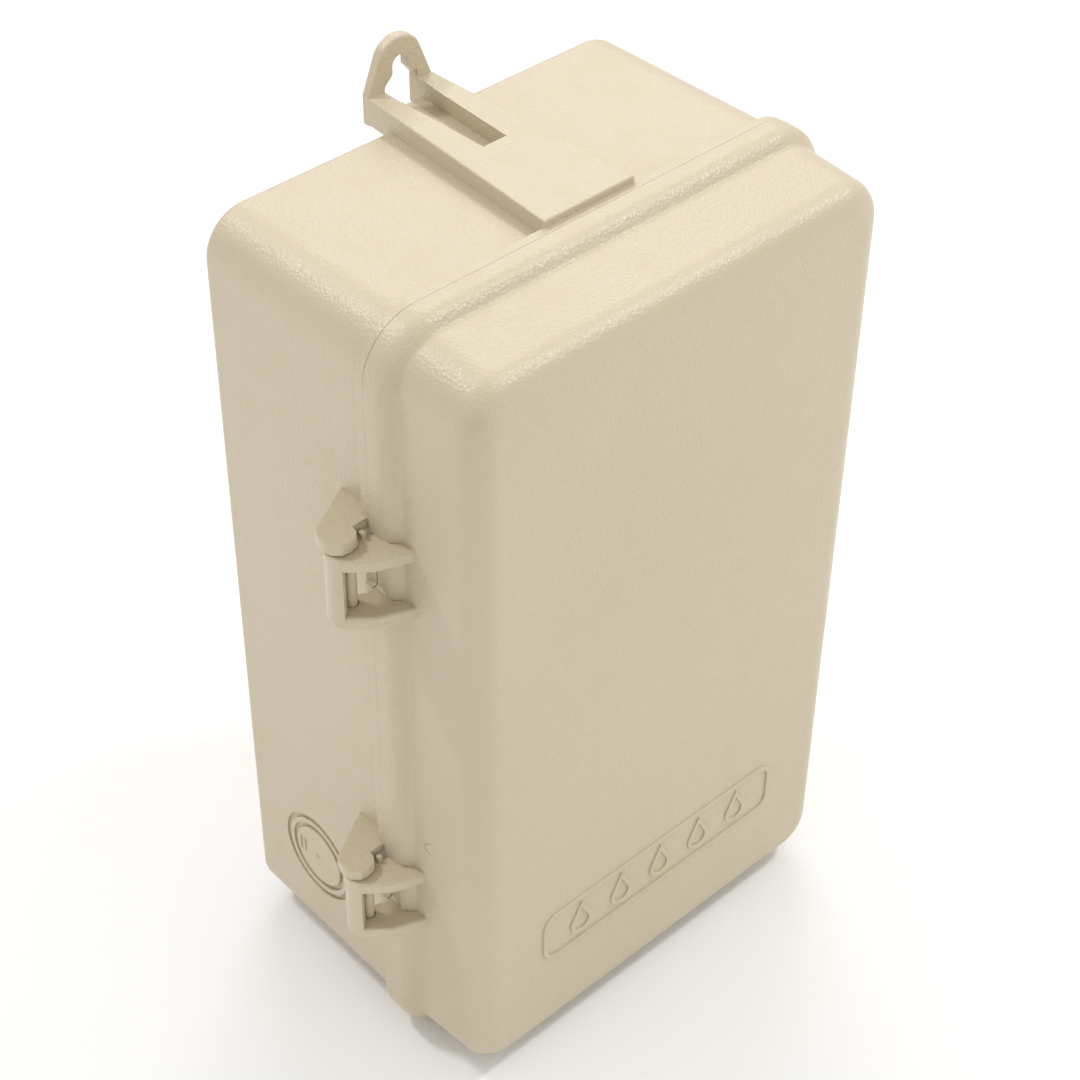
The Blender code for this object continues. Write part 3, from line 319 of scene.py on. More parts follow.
def roundedPlate(builder, halfWidth, low, high, radius, y, segments=14):
    corners = ((-halfWidth, low), (halfWidth, low), (halfWidth, high), (-halfWidth, high))
    verts = [builder.verts.new((x, y, z)) for x, z in corners]
    builder.faces.new(verts)
    bmesh.ops.bevel(builder, geom=verts, affect="VERTICES", offset=radius, segments=segments,
                    profile=0.5, material=-1, clamp_overlap=True)
    face = max(builder.faces, key=lambda item: len(item.verts))
    face.normal_update()
    return face


def stepOutline(builder, face, sections):  # pushes a face through (y, how far it stands out) sections
    if (face.normal.y > 0) != (sections[-1][0] > sections[0][0]):
        bmesh.ops.reverse_faces(builder, faces=[face])
    for (y, grow), (nextY, nextGrow) in zip(sections, sections[1:]):
        bmesh.ops.inset_region(builder, faces=[face], thickness=max(grow - nextGrow, 0.0),
                               depth=abs(nextY - y), use_even_offset=True, use_boundary=True)
    openEdges = [edge for edge in builder.edges if len(edge.link_faces) == 1]
    bmesh.ops.holes_fill(builder, edges=openEdges, sides=0)
    bmesh.ops.remove_doubles(builder, verts=builder.verts, dist=0.0005)
    bmesh.ops.recalc_face_normals(builder, faces=builder.faces)
    return builder


def prism(points, start, end, axis="y", softened=0.0, segments=3):
    builder = bmesh.new()
    lift = {"y": lambda a, b: (a, start, b), "z": lambda a, b: (a, b, start), "x": lambda a, b: (start, a, b)}
    travel = {"y": (0, end - start, 0), "z": (0, 0, end - start), "x": (end - start, 0, 0)}
    face = builder.faces.new([builder.verts.new(lift[axis](a, b)) for a, b in points])
    pushed = bmesh.ops.extrude_face_region(builder, geom=[face])["geom"]
    moved = [item for item in pushed if isinstance(item, bmesh.types.BMVert)]
    bmesh.ops.translate(builder, vec=travel[axis], verts=moved)
    bmesh.ops.recalc_face_normals(builder, faces=builder.faces)
    if softened:
        roundEdges(builder, softened, segments=segments)
    return builder


def softPrism(points, start, end, axis, radius, steps=4):  # a prism whose two rims are rounded
    builder = prism(points, start + radius, end - radius, axis)
    direction = {"x": Vector((1, 0, 0)), "y": Vector((0, 1, 0)), "z": Vector((0, 0, 1))}[axis]
    caps = [face for face in builder.faces if abs(face.normal.dot(direction)) > 0.99]
    for step in range(steps):
        before, after = math.pi / 2 * step / steps, math.pi / 2 * (step + 1) / steps
        for cap in caps:
            bmesh.ops.inset_region(builder, faces=[cap], use_even_offset=True,
                                   thickness=radius * (math.cos(before) - math.cos(after)),
                                   depth=radius * (math.sin(after) - math.sin(before)))
    return builder


def boxShape(low, high, softened=0.0, segments=3):
    builder = bmesh.new()
    bmesh.ops.create_cube(builder, size=1.0)
    bmesh.ops.scale(builder, vec=Vector(high) - Vector(low), verts=builder.verts)
    bmesh.ops.translate(builder, vec=(Vector(high) + Vector(low)) / 2, verts=builder.verts)
    if softened:
        roundEdges(builder, softened, segments=segments)
    return builder


def spun(profile, centre, axis="y", steps=64):  # profile: (radius, height along the axis)
    builder = bmesh.new()
    direction = {"y": Vector((0, 1, 0)), "z": Vector((0, 0, 1)), "x": Vector((1, 0, 0))}[axis]
    outward = {"y": Vector((1, 0, 0)), "z": Vector((1, 0, 0)), "x": Vector((0, 1, 0))}[axis]
    origin = {"y": Vector((centre[0], 0, centre[1])), "z": Vector((centre[0], centre[1], 0)),
              "x": Vector((0, centre[0], centre[1]))}[axis]
    verts = [builder.verts.new(origin + outward * radius + direction * height) for radius, height in profile]
    edges = [builder.edges.new(pair) for pair in zip(verts, verts[1:])]
    bmesh.ops.spin(builder, geom=verts + edges, cent=origin, axis=direction, angle=math.tau, steps=steps,
                   use_merge=True)
    bmesh.ops.remove_doubles(builder, verts=builder.verts, dist=0.0005)
    bmesh.ops.recalc_face_normals(builder, faces=builder.faces)
    return builder


def pin(centre, radius, low, high, axis="z", rounding=0.4, steps=40):
    profile = [(0.0, low), (radius - rounding, low)]
    profile += [(radius - rounding + rounding * math.sin(a), low + rounding - rounding * math.cos(a))
                for a in (0.5, 1.1, math.pi / 2)]
    profile += [(radius - rounding + rounding * math.cos(a), high - rounding + rounding * math.sin(a))
                for a in (0.0, 0.5, 1.1)]
    return spun(profile + [(radius - rounding, high), (0.0, high)], centre, axis, steps)


def ring(centre, outer, inner, start, end, axis="y", steps=72):
    profile = [(inner, start), (outer, start), (outer, end), (inner, end)]
    return spun(profile + ([profile[0]] if inner else []), centre, axis, steps)


def gather(builders):  # several builders as one
    whole = bmesh.new()
    for builder in builders:
        mesh = bpy.data.meshes.new("gathered")
        builder.to_mesh(mesh)
        builder.free()
        whole.from_mesh(mesh)
        bpy.data.meshes.remove(mesh)
    return whole


def turnAbout(builder, centre, degrees):  # clockwise as seen from the front
    bmesh.ops.rotate(builder, cent=(centre[0], 0, centre[1]), verts=builder.verts,
                     matrix=Matrix.Rotation(math.radians(degrees), 3, "Y"))
    return builder


def asObject(name, builder):
    bmesh.ops.transform(builder, matrix=toFrame, verts=builder.verts)
    mesh = bpy.data.meshes.new(name)
    builder.to_mesh(mesh)
    builder.free()
    thing = bpy.data.objects.new(name, mesh)
    bpy.context.scene.collection.objects.link(thing)
    return thing


def settle(thing):
    bpy.context.view_layer.update()
    evaluated = thing.evaluated_get(bpy.context.evaluated_depsgraph_get())
    mesh = bpy.data.meshes.new_from_object(evaluated)
    thing.modifiers.clear()
    thing.data = mesh


def carve(thing, builder, operation="DIFFERENCE"):
    tool = asObject(thing.name + "Tool", builder)
    modifier = thing.modifiers.new("carve", "BOOLEAN")
    modifier.operation = operation
    modifier.object = tool
    modifier.solver = "EXACT"
    settle(thing)
    bpy.data.objects.remove(tool, do_unlink=True)


def join(thing, builder):
    carve(thing, builder, "UNION")


def soften(thing, width, angle=35, segments=3):  # rounds the sharp edges, width in millimetres
    builder = bmesh.new()
    builder.from_mesh(thing.data)
    bmesh.ops.remove_doubles(builder, verts=builder.verts, dist=0.00001)
    bmesh.ops.dissolve_limit(builder, angle_limit=math.radians(1), verts=builder.verts, edges=builder.edges)
    bmesh.ops.recalc_face_normals(builder, faces=builder.faces)
    if width:
        roundEdges(builder, width / 1000, angle, segments)
    builder.to_mesh(thing.data)
    builder.free()
    return thing


def takeApart(thing):  # an object's mesh back as a builder in millimetres; the object goes
    builder = bmesh.new()
    builder.from_mesh(thing.data)
    bmesh.ops.transform(builder, matrix=toFrame.inverted(), verts=builder.verts)
    bpy.data.objects.remove(thing, do_unlink=True)
    return builder


def dress(thing, body, material, stands=(), angle=32, even=False):
    thing.data.materials.clear()
    thing.data.materials.append(material)
    thing.data.shade_smooth()
    thing.data.set_sharp_from_angle(angle=math.radians(angle))
    if even:
        thing.modifiers.new("evenShading", "WEIGHTED_NORMAL").keep_sharp = True
    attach(thing, body)
    if stands:
        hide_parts(*stands)
    return thing


def refine(name, node, material, width):  # a CAD node with its edges rounded
    thing = bpy.data.objects.new(name, frame["nodes"][node].data.copy())
    bpy.context.scene.collection.objects.link(thing)
    soften(thing, width, segments=2)
    return dress(thing, frame["nodes"][node]["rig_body"], material, [node])


def drawText(words, place, size, turn=0.0, relief=0.05):  # raised figures that face the front
    curve = bpy.data.curves.new("figures", "FONT")
    curve.body = words
    curve.size = size
    curve.extrude = relief
    curve.resolution_u = 4
    curve.align_x = "CENTER"
    curve.align_y = "CENTER"
    holder = bpy.data.objects.new("figures", curve)
    bpy.context.scene.collection.objects.link(holder)
    bpy.context.view_layer.update()
    mesh = bpy.data.meshes.new_from_object(holder.evaluated_get(bpy.context.evaluated_depsgraph_get()))
    bpy.data.objects.remove(holder, do_unlink=True)
    stand = Matrix.Rotation(math.radians(90), 4, "X")
    turned = Matrix.Rotation(math.radians(turn), 4, "Y")
    mesh.transform(Matrix.Translation(place) @ turned @ stand)
    builder = bmesh.new()
    builder.from_mesh(mesh)
    bpy.data.meshes.remove(mesh)
    return builder


# Rear case

caseShape = {
    "halfWidth": 67.2, "height": 235.0, "corner": 12.0, "hinges": (184.8, 72.6), "hingeAxis": (-77.6, -63.9),
    "feet": (-46.0, 46.0), "plateScrews": ((-48, 24), (-48, 216), (48, 24), (48, 216)), "sideDisc": (-29.1, 37.1),
    "baseDiscs": (-30.0, 0.0, 30.0),
}
hingeAxis = caseShape["hingeAxis"]


def steppedSolid(sections):  # sections: (y, how far the outline stands outside the rear size)
    y, grow = sections[0]
    builder = bmesh.new()
    face = roundedPlate(builder, caseShape["halfWidth"] + grow, -grow, caseShape["height"] + grow,
                        caseShape["corner"] + grow, y)
    return stepOutline(builder, face, sections)


def roundOver(y, grow, radius, direction, steps=7):
    angles = [math.pi / 2 * step / steps for step in range(1, steps + 1)]
    return [(y + direction * radius * math.sin(a), grow - radius * (1 - math.cos(a))) for a in angles]


def gussetOutline():
    return [(-64.5, -49.2), (-67.9, -49.6), (-82.5, -58.0), (-83.5, -60.3), (-83.6, -62.4), (-83.2, -64.3),
            (-81.4, -66.2), (-79.0, -66.6), (-76.5, -66.0), (-75.3, -64.4), (-74.9, -62.5), (-64.5, -62.5)]


def hangingEar():  # ear, deck and their keyhole slot
    top = arcPoints((0, 247.0), 7.0, 14, 166, 14)
    ear = softPrism([(-10.1, 232.5), (10.1, 232.5), (10.1, 240.4), *top, (-10.1, 240.4)], 6.3, 9.5, "y", 0.7)
    thing = asObject("ear", ear)
    join(thing, softPrism([(-10.1, 8.4), (10.1, 8.4), (14.4, -60.9), (-14.4, -60.9)], 232.7, 240.4, "z", 0.55))
    carve(thing, prism([(-5.2, 6.5), (5.2, 6.5), (3.7, -28.1), (-3.7, -28.1)], 235.6, 243, "z"))
    carve(thing, boxShape((-5.2, 0.2, 235.6), (5.2, 6.6, 243)))
    keyhole = [(-5.2, 229), (5.2, 229), (5.2, 241), (2.6, 244.5), *arcPoints((0, 246.4), 2.6, 0, 180, 12),
               (-2.6, 244.5), (-5.2, 241)]
    carve(thing, prism(keyhole, 5.0, 11.0))
    return takeApart(thing)


def lug(front, rear):
    outline = [(66.0, 107.6), (72.0, 108.2), (77.6, 110.4), (81.0, 113.6), (82.6, 118.0), (81.0, 122.4),
               (77.6, 125.6), (72.0, 127.8), (66.0, 128.4)]
    thing = asObject("lug", softPrism(outline, front, rear, "y", 0.5))
    carve(thing, pin((76.2, 118.0), 3.9, front - 2, rear + 2, "y", 0.2))
    return takeApart(thing)


def buildCase():
    profile = [(-63.0, 3.4), (-60.8, 3.4), (-60.45, 3.32), (-60.25, 3.0), (-60.2, 2.55), (-60.1, 1.95),
               (-59.75, 1.45), (-59.1, 1.12), (-58.3, 1.0), (-2.6, 0.045)]
    profile += roundOver(-2.6, 0.045, 2.6, 1.0) + [(0.0, -3.2)]
    case = asObject("caseShell", steppedSolid(profile))
    join(case, steppedSolid([(-61.0, 0.2), (-66.8, 0.2), (-67.2, 0.05), (-67.4, -0.3)]))
    join(case, hangingEar())
    for top in caseShape["hinges"]:
        join(case, prism(gussetOutline(), top - 3.2, top, "z", 0.3))
        carve(case, pin(hingeAxis, 8.6, top - 21.5, top - 7.1, "z", 0.8, 72))
        join(case, pin(hingeAxis, 1.55, top - 27.2, top - 1.0, "z", 0.4))
    join(case, lug(-63.0, -60.0))
    cavity = [(-70.0, -1.8), (-58.8, -1.8), (-4.4, -2.78), (-3.6, -2.95), (-3.1, -3.4), (-2.8, -4.2),
              (-2.8, -6.0)]
    carve(case, steppedSolid(cavity))
    for place in caseShape["plateScrews"]:
        boss = [(0, -1.4), (6.4, -1.4), (6.4, -2.9), (5.7, -3.4), (5.4, -4.2), (4.4, -15.7), (0, -15.7)]
        join(case, spun(boss, place, "y", 40))
    for x in caseShape["feet"]:
        foot = [(0, -1.2), (9.4, -1.2), (9.4, 0.0), (8.7, 0.5), (8.4, 1.2), (7.6, 9.1), (7.2, 9.5), (0, 9.5)]
        join(case, spun(foot, (x, 24.0), "y", 56))
        carve(case, ring((x, 24.0), 2.4, 0.0, -20.0, 12.0, "y", 40))
        carve(case, ring((x, 24.0), 5.2, 0.0, -20.0, 6.0, "y", 48))
    for place in caseShape["plateScrews"]:
        if place[1] > 100:
            carve(case, ring(place, 1.8, 0.0, -20.0, -6.0, "y", 32))
    for side in (-1, 1):
        wall = side * 67.69
        groove = sorted((wall - side * 0.9, wall + side * 3))
        for outer, inner in ((14.1, 12.5), (11.1, 9.5)):
            carve(case, ring(caseShape["sideDisc"], outer, inner, *groove, "x"))
        low, high = sorted((wall - side * 1.5, wall + side * 0.3))
        for y in (-23.1, -21.3):  # two gauge bars on the disc
            join(case, boxShape((low, y - 0.4, 34.6), (high, y + 0.4, 39.6), 0.15))
        carve(case, pin(caseShape["sideDisc"], 0.9, *sorted((wall - side * 0.25, wall + side * 2)), "x", 0.2))
    for x in caseShape["baseDiscs"]:
        carve(case, ring((x, -29.1), 11.1, 9.5, -4.0, 0.4, "z"))
    return dress(case, "case_body", enclosureBeige, ["case"], 34, True)


buildCase()
print("case ready")


# Cover

coverShape = {"front": -95.6, "emblemLow": 31.0, "emblemHigh": 49.0, "emblemHalf": 44.0}


def loopOutline(cutBack):
    behind = arcPoints(hingeAxis, 5.9, 212, 30, 24)
    if cutBack:  # the lower plate is cut back close behind the pin
        behind = arcPoints(hingeAxis, 5.9, 212, 122, 14) + arcPoints(hingeAxis, 3.1, 100, 40, 6)
    return [(-64.9, -76.2), (-67.4, -75.8), (-76.5, -72.2), (-79.6, -69.6), *behind, (-71.3, -63.5),
            (-69.6, -63.6), (-69.6, -69.6), (-66.6, -71.8)]


def hingeLoop(top):
    upper, lower = top - 3.5, top - 21.3
    thing = asObject("loop", softPrism(loopOutline(False), upper - 3.8, upper, "z", 0.85))
    join(thing, softPrism(loopOutline(True), lower - 3.8, lower, "z", 0.85))
    wall = arcPoints(hingeAxis, 5.85, 216, 122, 14) + arcPoints(hingeAxis, 3.7, 122, 216, 14)
    join(thing, prism(wall, lower - 1.2, upper - 1.2, "z"))
    join(thing, boxShape((-74.1, -64.8, upper - 1.0), (-72.8, -63.2, upper + 2.0), 0.25))
    foot = [(0, lower - 5.3), (2.4, lower - 5.3), (3.0, lower - 4.9), (3.2, lower - 3.0), (0, lower - 3.0)]
    join(thing, spun(foot, hingeAxis, "z", 40))
    return takeApart(thing)


def emblem():  # a raised frame around a plain row of drops
    front = coverShape["front"]
    low, high, half = coverShape["emblemLow"], coverShape["emblemHigh"], coverShape["emblemHalf"]
    outer = bmesh.new()
    face = roundedPlate(outer, half, low, high, 5.0, front + 0.6, 10)
    stepOutline(outer, face, [(front + 0.6, 0.0), (front - 0.3, 0.0), (front - 0.5, -0.25)])
    thing = asObject("emblem", outer)
    inner = bmesh.new()
    face = roundedPlate(inner, half - 1.3, low + 1.3, high - 1.3, 3.9, front + 2.0, 10)
    window = [(front + 2.0, 0.0), (front - 0.2, 0.0), (front - 0.5, 0.0), (front - 2, 0.0)]
    carve(thing, stepOutline(inner, face, window))
    middle = (low + high) / 2
    shapes = [takeApart(thing)]
    for x in (-30.0, -15.0, 0.0, 15.0, 30.0):
        outside = [(x, middle + 6.4), *arcPoints((x, middle - 1.8), 3.9, 28, -208, 24)]
        inside = [(x, middle + 3.9), *arcPoints((x, middle - 1.8), 2.7, 28, -208, 24)]
        drop = asObject("drop", prism(outside, front + 0.6, front - 0.5, "y", 0.15, 2))
        carve(drop, prism(inside, front + 2.0, front - 2.0))
        shapes.append(takeApart(drop))
    return gather(shapes)


def buildCover():
    profile = [(-63.3, 3.6), (-66.4, 3.6), (-67.5, 3.5), (-68.6, 3.2), (-69.6, 2.6), (-70.5, 1.75), (-71.2, 0.95),
               (-71.7, 0.55), (-72.3, 0.4), (-88.3, -0.5)]
    profile += roundOver(-88.3, -0.5, 7.3, -1.0, 9) + [(-95.6, -8.5)]
    cover = asObject("coverShell", steppedSolid(profile))
    for top in caseShape["hinges"]:
        carve(cover, pin(hingeAxis, 8.6, top - 21.5, top - 7.1, "z", 0.8, 72))
        join(cover, hingeLoop(top))
    join(cover, lug(-66.3, -63.3))
    cavity = [(-60.0, 1.0), (-69.4, 1.0), (-70.9, -2.1), (-88.3, -3.0)] + roundOver(-88.3, -3.0, 4.8, -1.0, 5)
    carve(cover, steppedSolid(cavity + [(-93.1, -9.0)]))
    for top in caseShape["hinges"]:
        carve(cover, pin(hingeAxis, 1.85, top - 34.0, top - 3.2, "z", 0.1))
    join(cover, emblem())
    carve(cover, ring((-77.6, 80.2), 2.1, 1.7, -68.0, -67.18, "x", 48))  # an ejector's mark
    return dress(cover, "cover_body", enclosureBeige, ["cover"], 34, True)


buildCover()
print("cover ready")


# Mechanism plate, posts and screws

terminalPlaces = [-37.5 + 15.0 * step for step in range(6)]
screwSets = {  # node: (centres, seat, tip, shank radius, head radius, head height, finish, slot)
    "plate_screw": (caseShape["plateScrews"], -17.8, -7.5, 1.5, 3.2, 2.2, zincScrew, "screw_steel"),
    "bridge_screw": (((-50, 195), (26, 195), (25, 120)), -48.9, -39.0, 1.4, 2.8, 1.9, zincScrew, "screw_steel"),
    "panel_screw": (((-51, 61), (51, 61)), -51.8, -42.0, 1.4, 2.8, 1.9, zincScrew, "screw_steel"),
    "terminal_screw": ([(x, 41) for x in terminalPlaces], -26.6, -21.0, 1.8, 3.6, 2.2, brassPart, "brass"),
    "ground_screw": (((50, 116),), -25.1, -23.2, 1.7, 3.4, 2.2, groundGreen, "ground_green"),
}


def buildScrews():
    for node, (centres, seat, tip, shank, head, height, finish, slotName) in screwSets.items():
        for number, centre in enumerate(centres, 1):
            dome = [(head * math.cos(a), seat - 0.45 * height - 0.55 * height * math.sin(a))
                    for a in (0.0, 0.35, 0.7, 1.05, 1.35)]
            profile = [(0, tip), (shank * 0.6, tip), (shank, tip - shank * 0.5), (shank, seat),
                       (head - 0.15, seat), (head, seat - 0.15), *dome, (0, seat - height)]
            name = node if len(centres) == 1 else "%s_%d" % (node, number)
            thing = asObject(name.replace("_", "") + "Head", spun(profile, centre, "y", 44))
            slotCut = boxShape((centre[0] - head - 1, seat - height - 1, centre[1] - 0.36),
                               (centre[0] + head + 1, seat - height * 0.5, centre[1] + 0.36))
            carve(thing, turnAbout(slotCut, centre, 25 + 47 * number))
            dress(thing, "case_body", finish, [name], 40)


refined = {  # node: (piece, finish, slot, edge rounding in millimetres)
    "mechanism_plate": ("mechanismPlate", zincPlate, "zinc_steel", 0.3),
    "gear_bridge": ("gearBridge", zincPlate, "zinc_steel", 0.3),
    "bridge_post_1": ("bridgePost1", brassPart, "brass", 0.25),
    "bridge_post_2": ("bridgePost2", brassPart, "brass", 0.25),
    "bridge_post_3": ("bridgePost3", brassPart, "brass", 0.25),
    "panel_post_1": ("panelPost1", brassPart, "brass", 0.25),
    "panel_post_2": ("panelPost2", brassPart, "brass", 0.25),
    "front_panel": ("frontPanel", panelPaint, "panel_grey", 0.35),
    "switch_block": ("switchBlock", switchBlack, "switch_black", 0.6),
    "selector_switch": ("selectorSwitch", switchBlack, "switch_black", 0.5),
    "terminal_block": ("terminalBlock", switchBlack, "switch_black", 0.35),
    "transformer_core": ("transformerCore", coreSteel, "core_grey", 0.25),
    "ground_lug": ("groundLug", brassPart, "brass", 0.35),
    "dial_gear": ("dialGear", brassPart, "brass", 0.12),
    "dial_nut": ("dialNut", brassPart, "brass", 0.3),
    "idler_gear": ("idlerGear", gearNylon, "gear_white", 0.12),
    "motor_pinion": ("motorPinion", brassPart, "brass", 0.12),
    "calendar_wheel": ("calendarWheel", calendarYellow, "calendar_yellow", 0.18),
    "trip_lever": ("tripLever", tripRed, "trip_red", 0.4),
    "selector_lever": ("selectorLever", gearNylon, "gear_white", 0.5),
    "tripper_1": ("tripper1", tripRed, "trip_red", 0.3),
    "tripper_2": ("tripper2", tripGreen, "trip_green", 0.3),
    "tripper_3": ("tripper3", tripRed, "trip_red", 0.3),
    "tripper_4": ("tripper4", tripGreen, "trip_green", 0.3),
}

buildScrews()
for node, (piece, finish, slotName, width) in refined.items():
    refine(piece, node, finish, width)
print("plates, posts and screws ready")


# Clock

clockShape = {
    "dial": (-12.0, 158.0), "stud": (-12.0, 183.0), "pinion": (-7.319, 132.0), "hours": 24,
    "figureRing": 33.6, "figureSize": 4.3, "nightHours": (18, 30),
}
dialCentre = clockShape["dial"]


def buildMotor():
    centre = clockShape["pinion"]
    can = [(0, -17.8), (21.2, -17.8), (21.5, -18.1), (21.5, -24.2), (21.1, -24.5), (21.1, -25.1), (21.5, -25.4),
           (21.5, -28.6), (21.3, -29.5), (20.7, -30.2), (19.8, -30.5), (9.6, -30.5), (9.2, -30.7), (9.0, -31.1),
           (9.0, -32.5), (8.6, -33.0), (3.4, -33.0), (3.0, -33.3), (3.0, -34.1), (2.7, -34.5), (0, -34.5)]
    thing = asObject("clockMotor", spun(can, centre, "y", 96))
    for side in (-1, 1):
        x, z = centre[0] + side * 18.2, centre[1] + side * 18.2
        join(thing, spun([(0, -17.8), (4.0, -17.8), (4.0, -18.9), (3.8, -19.1), (0, -19.1)], (x, z), "y", 48))
        carve(thing, ring((x, z), 1.6, 0.0, -16.0, -21.0, "y", 32))
    carve(thing, ring(centre, 1.9, 0.0, -27.5, -37.0, "y", 36))
    cooling = [turnAbout(boxShape((centre[0] - 0.9, -31.1, centre[1] + 12.5),
                                  (centre[0] + 0.9, -30.0, centre[1] + 17.5), 0.35), centre, step * 30)
               for step in range(12)]
    carve(thing, gather(cooling))
    return dress(thing, "case_body", zincPlate, ["clock_motor"])


def buildDial():
    disc = [(3.3, -49.6), (7.6, -49.6), (8.0, -50.0), (8.0, -51.6), (8.4, -52.0), (43.2, -52.0),
            (43.8, -52.3), (44.0, -52.9), (44.0, -53.8), (43.8, -54.2), (43.4, -54.4), (40.1, -54.4),
            (39.7, -54.2), (39.4, -53.9), (9.5, -53.9), (9.2, -54.1), (9.0, -54.4), (3.3, -54.4), (3.3, -49.6)]
    thing = asObject("dayDial", spun(disc, dialCentre, "y", 144))
    carve(thing, ring(clockShape["stud"], 1.7, 0.0, -47.0, -57.0, "y", 36))
    notches = [turnAbout(boxShape((dialCentre[0] - 0.35, -55.0, dialCentre[1] + 43.0),
                                  (dialCentre[0] + 0.35, -51.0, dialCentre[1] + 45.0)), dialCentre, step * 3.75)
               for step in range(96)]
    carve(thing, gather(notches))
    return dress(thing, "dial_body", dialWhite, ["day_dial"])


def buildDialPrint():
    figures, level = [], -53.9
    for hour in range(1, clockShape["hours"] + 1):
        turn = 360.0 * hour / clockShape["hours"]
        place = arcPoints(dialCentre, clockShape["figureRing"], 90 - turn, 90 - turn, 1)[0]
        figures.append(drawText(str(hour), (place[0], level, place[1]), clockShape["figureSize"], turn))
        for part in range(4):
            length = 2.6 if part == 0 else 1.2
            width = 0.28 if part == 0 else 0.14
            tick = boxShape((dialCentre[0] - width, level - 0.05, dialCentre[1] + 39.2 - length),
                            (dialCentre[0] + width, level + 0.2, dialCentre[1] + 39.2))
            figures.append(turnAbout(tick, dialCentre, turn + part * 3.75))
    dress(asObject("dialFigures", gather(figures)), "dial_body", printBlack)
    nightStart, nightEnd = [90 - 15.0 * hour for hour in clockShape["nightHours"]]
    for name, start, end, finish, slotName in (
            ("nightBand", nightStart, nightEnd, printBlack, "switch_black"),
            ("dayBand", nightEnd - 1, nightStart - 359, calendarYellow, "calendar_yellow")):
        band = arcPoints(dialCentre, 28.8, start, end, 40) + arcPoints(dialCentre, 27.2, end, start, 40)
        dress(asObject(name, prism(band, level + 0.2, level - 0.06)), "dial_body", finish)
    arrow = prism([(0, 14.9), (4.2, 16.4), (0, 17.9)], level + 0.2, level - 0.06)
    bmesh.ops.translate(arrow, vec=(dialCentre[0], 0, dialCentre[1]), verts=arrow.verts)
    rotor = [turnAbout(arrow, dialCentre, 132)]
    swept = arcPoints(dialCentre, 16.8, -42, 30, 24) + arcPoints(dialCentre, 16.0, 30, -42, 24)
    rotor.append(prism(swept, level + 0.2, level - 0.06))
    dress(asObject("dialArrow", gather(rotor)), "dial_body", tripRed)


def buildCalendarPrint():
    centre, figures = clockShape["stud"], []
    for day in range(14):
        turn = day * 360.0 / 14
        place = arcPoints(centre, 11.6, 90 - turn, 90 - turn, 1)[0]
        figures.append(drawText(str(day + 1), (place[0], -57.2, place[1]), 2.5, turn))
    dress(asObject("calendarFigures", gather(figures)), "calendar_body", printBlack)


def buildShaftAndStud():
    shaft = [(0, -18.1), (2.6, -18.1), (3.0, -18.5), (3.0, -57.5), (2.9, -57.8), (2.5, -58.2), (0.9, -58.2),
             (0.5, -57.9), (0, -57.7)]
    dress(asObject("dialShaft", spun(shaft, dialCentre, "y", 56)), "dial_body", zincScrew,
          ["dial_shaft"])
    stud = [(0, -50.0), (3.0, -50.0), (3.0, -51.7), (1.4, -51.7), (1.4, -55.1), (2.0, -55.1), (2.0, -57.6),
            (3.4, -57.6), (3.4, -58.1), (3.1, -58.45), (2.4, -58.6), (0.8, -58.6), (0.5, -58.3), (0, -58.2)]
    dress(asObject("calendarStud", spun(stud, clockShape["stud"], "y", 48)), "dial_body", zincScrew,
          ["calendar_stud"])


buildMotor()
buildDial()
buildDialPrint()
buildCalendarPrint()
buildShaftAndStud()
print("clock ready")


# Lower half

lowerShape = {"timer": (20.0, 84.0), "knobFlutes": 20, "minutes": (0, 10, 20, 30, 40, 50, 60), "turn": 270.0}


def buildTransformer():
    bore = ((-37.3, -35.8, 60), (-18.7, -28.7, 100))
    coil = asObject("woundCoil", boxShape((-49.5, -40.8, 66.4), (-6.5, -23.7, 93.6), 2.6, 5))
    carve(coil, boxShape(*bore))
    dress(coil, "case_body", coilTape, ["transformer_winding"])
    flanges = [boxShape((-50, -41.2, low), (-6, -23.3, low + 1.2), 0.4) for low in (65.3, 93.5)]
    bobbin = asObject("coilFlanges", gather(flanges))
    carve(bobbin, boxShape(*bore))
    dress(bobbin, "case_body", gearNylon)
    bolts = [spun([(0, -45.9), (2.6, -45.9), (2.6, -47.2), (2.2, -47.6), (0, -47.6)], place, "y", 6)
             for place in ((-42.8, 61.4), (-13.2, 61.4), (-42.8, 98.6), (-13.2, 98.6))]
    dress(asObject("coreBolts", gather(bolts)), "case_body", zincScrew)


def buildTimer():
    centre = lowerShape["timer"]
    can = [(0, -17.8), (16.6, -17.8), (17.0, -18.2), (17.0, -21.6), (16.6, -21.9), (16.6, -22.5), (17.0, -22.8),
           (17.0, -42.6), (16.8, -43.4), (16.2, -43.9), (15.4, -44.0), (5.4, -44.0), (5.0, -44.3), (5.0, -45.7),
           (4.7, -46.0), (2.3, -46.0), (2.3, -38.0), (0, -38.0)]
    dress(asObject("intervalTimer", spun(can, centre, "y", 96)), "case_body", zincPlate,
          ["interval_timer"])
    tab = boxShape((18.4, -30.6, 65.2), (21.6, -29.4, 68.5), 0.3)
    dress(asObject("timerTab", tab), "case_body", brassPart)


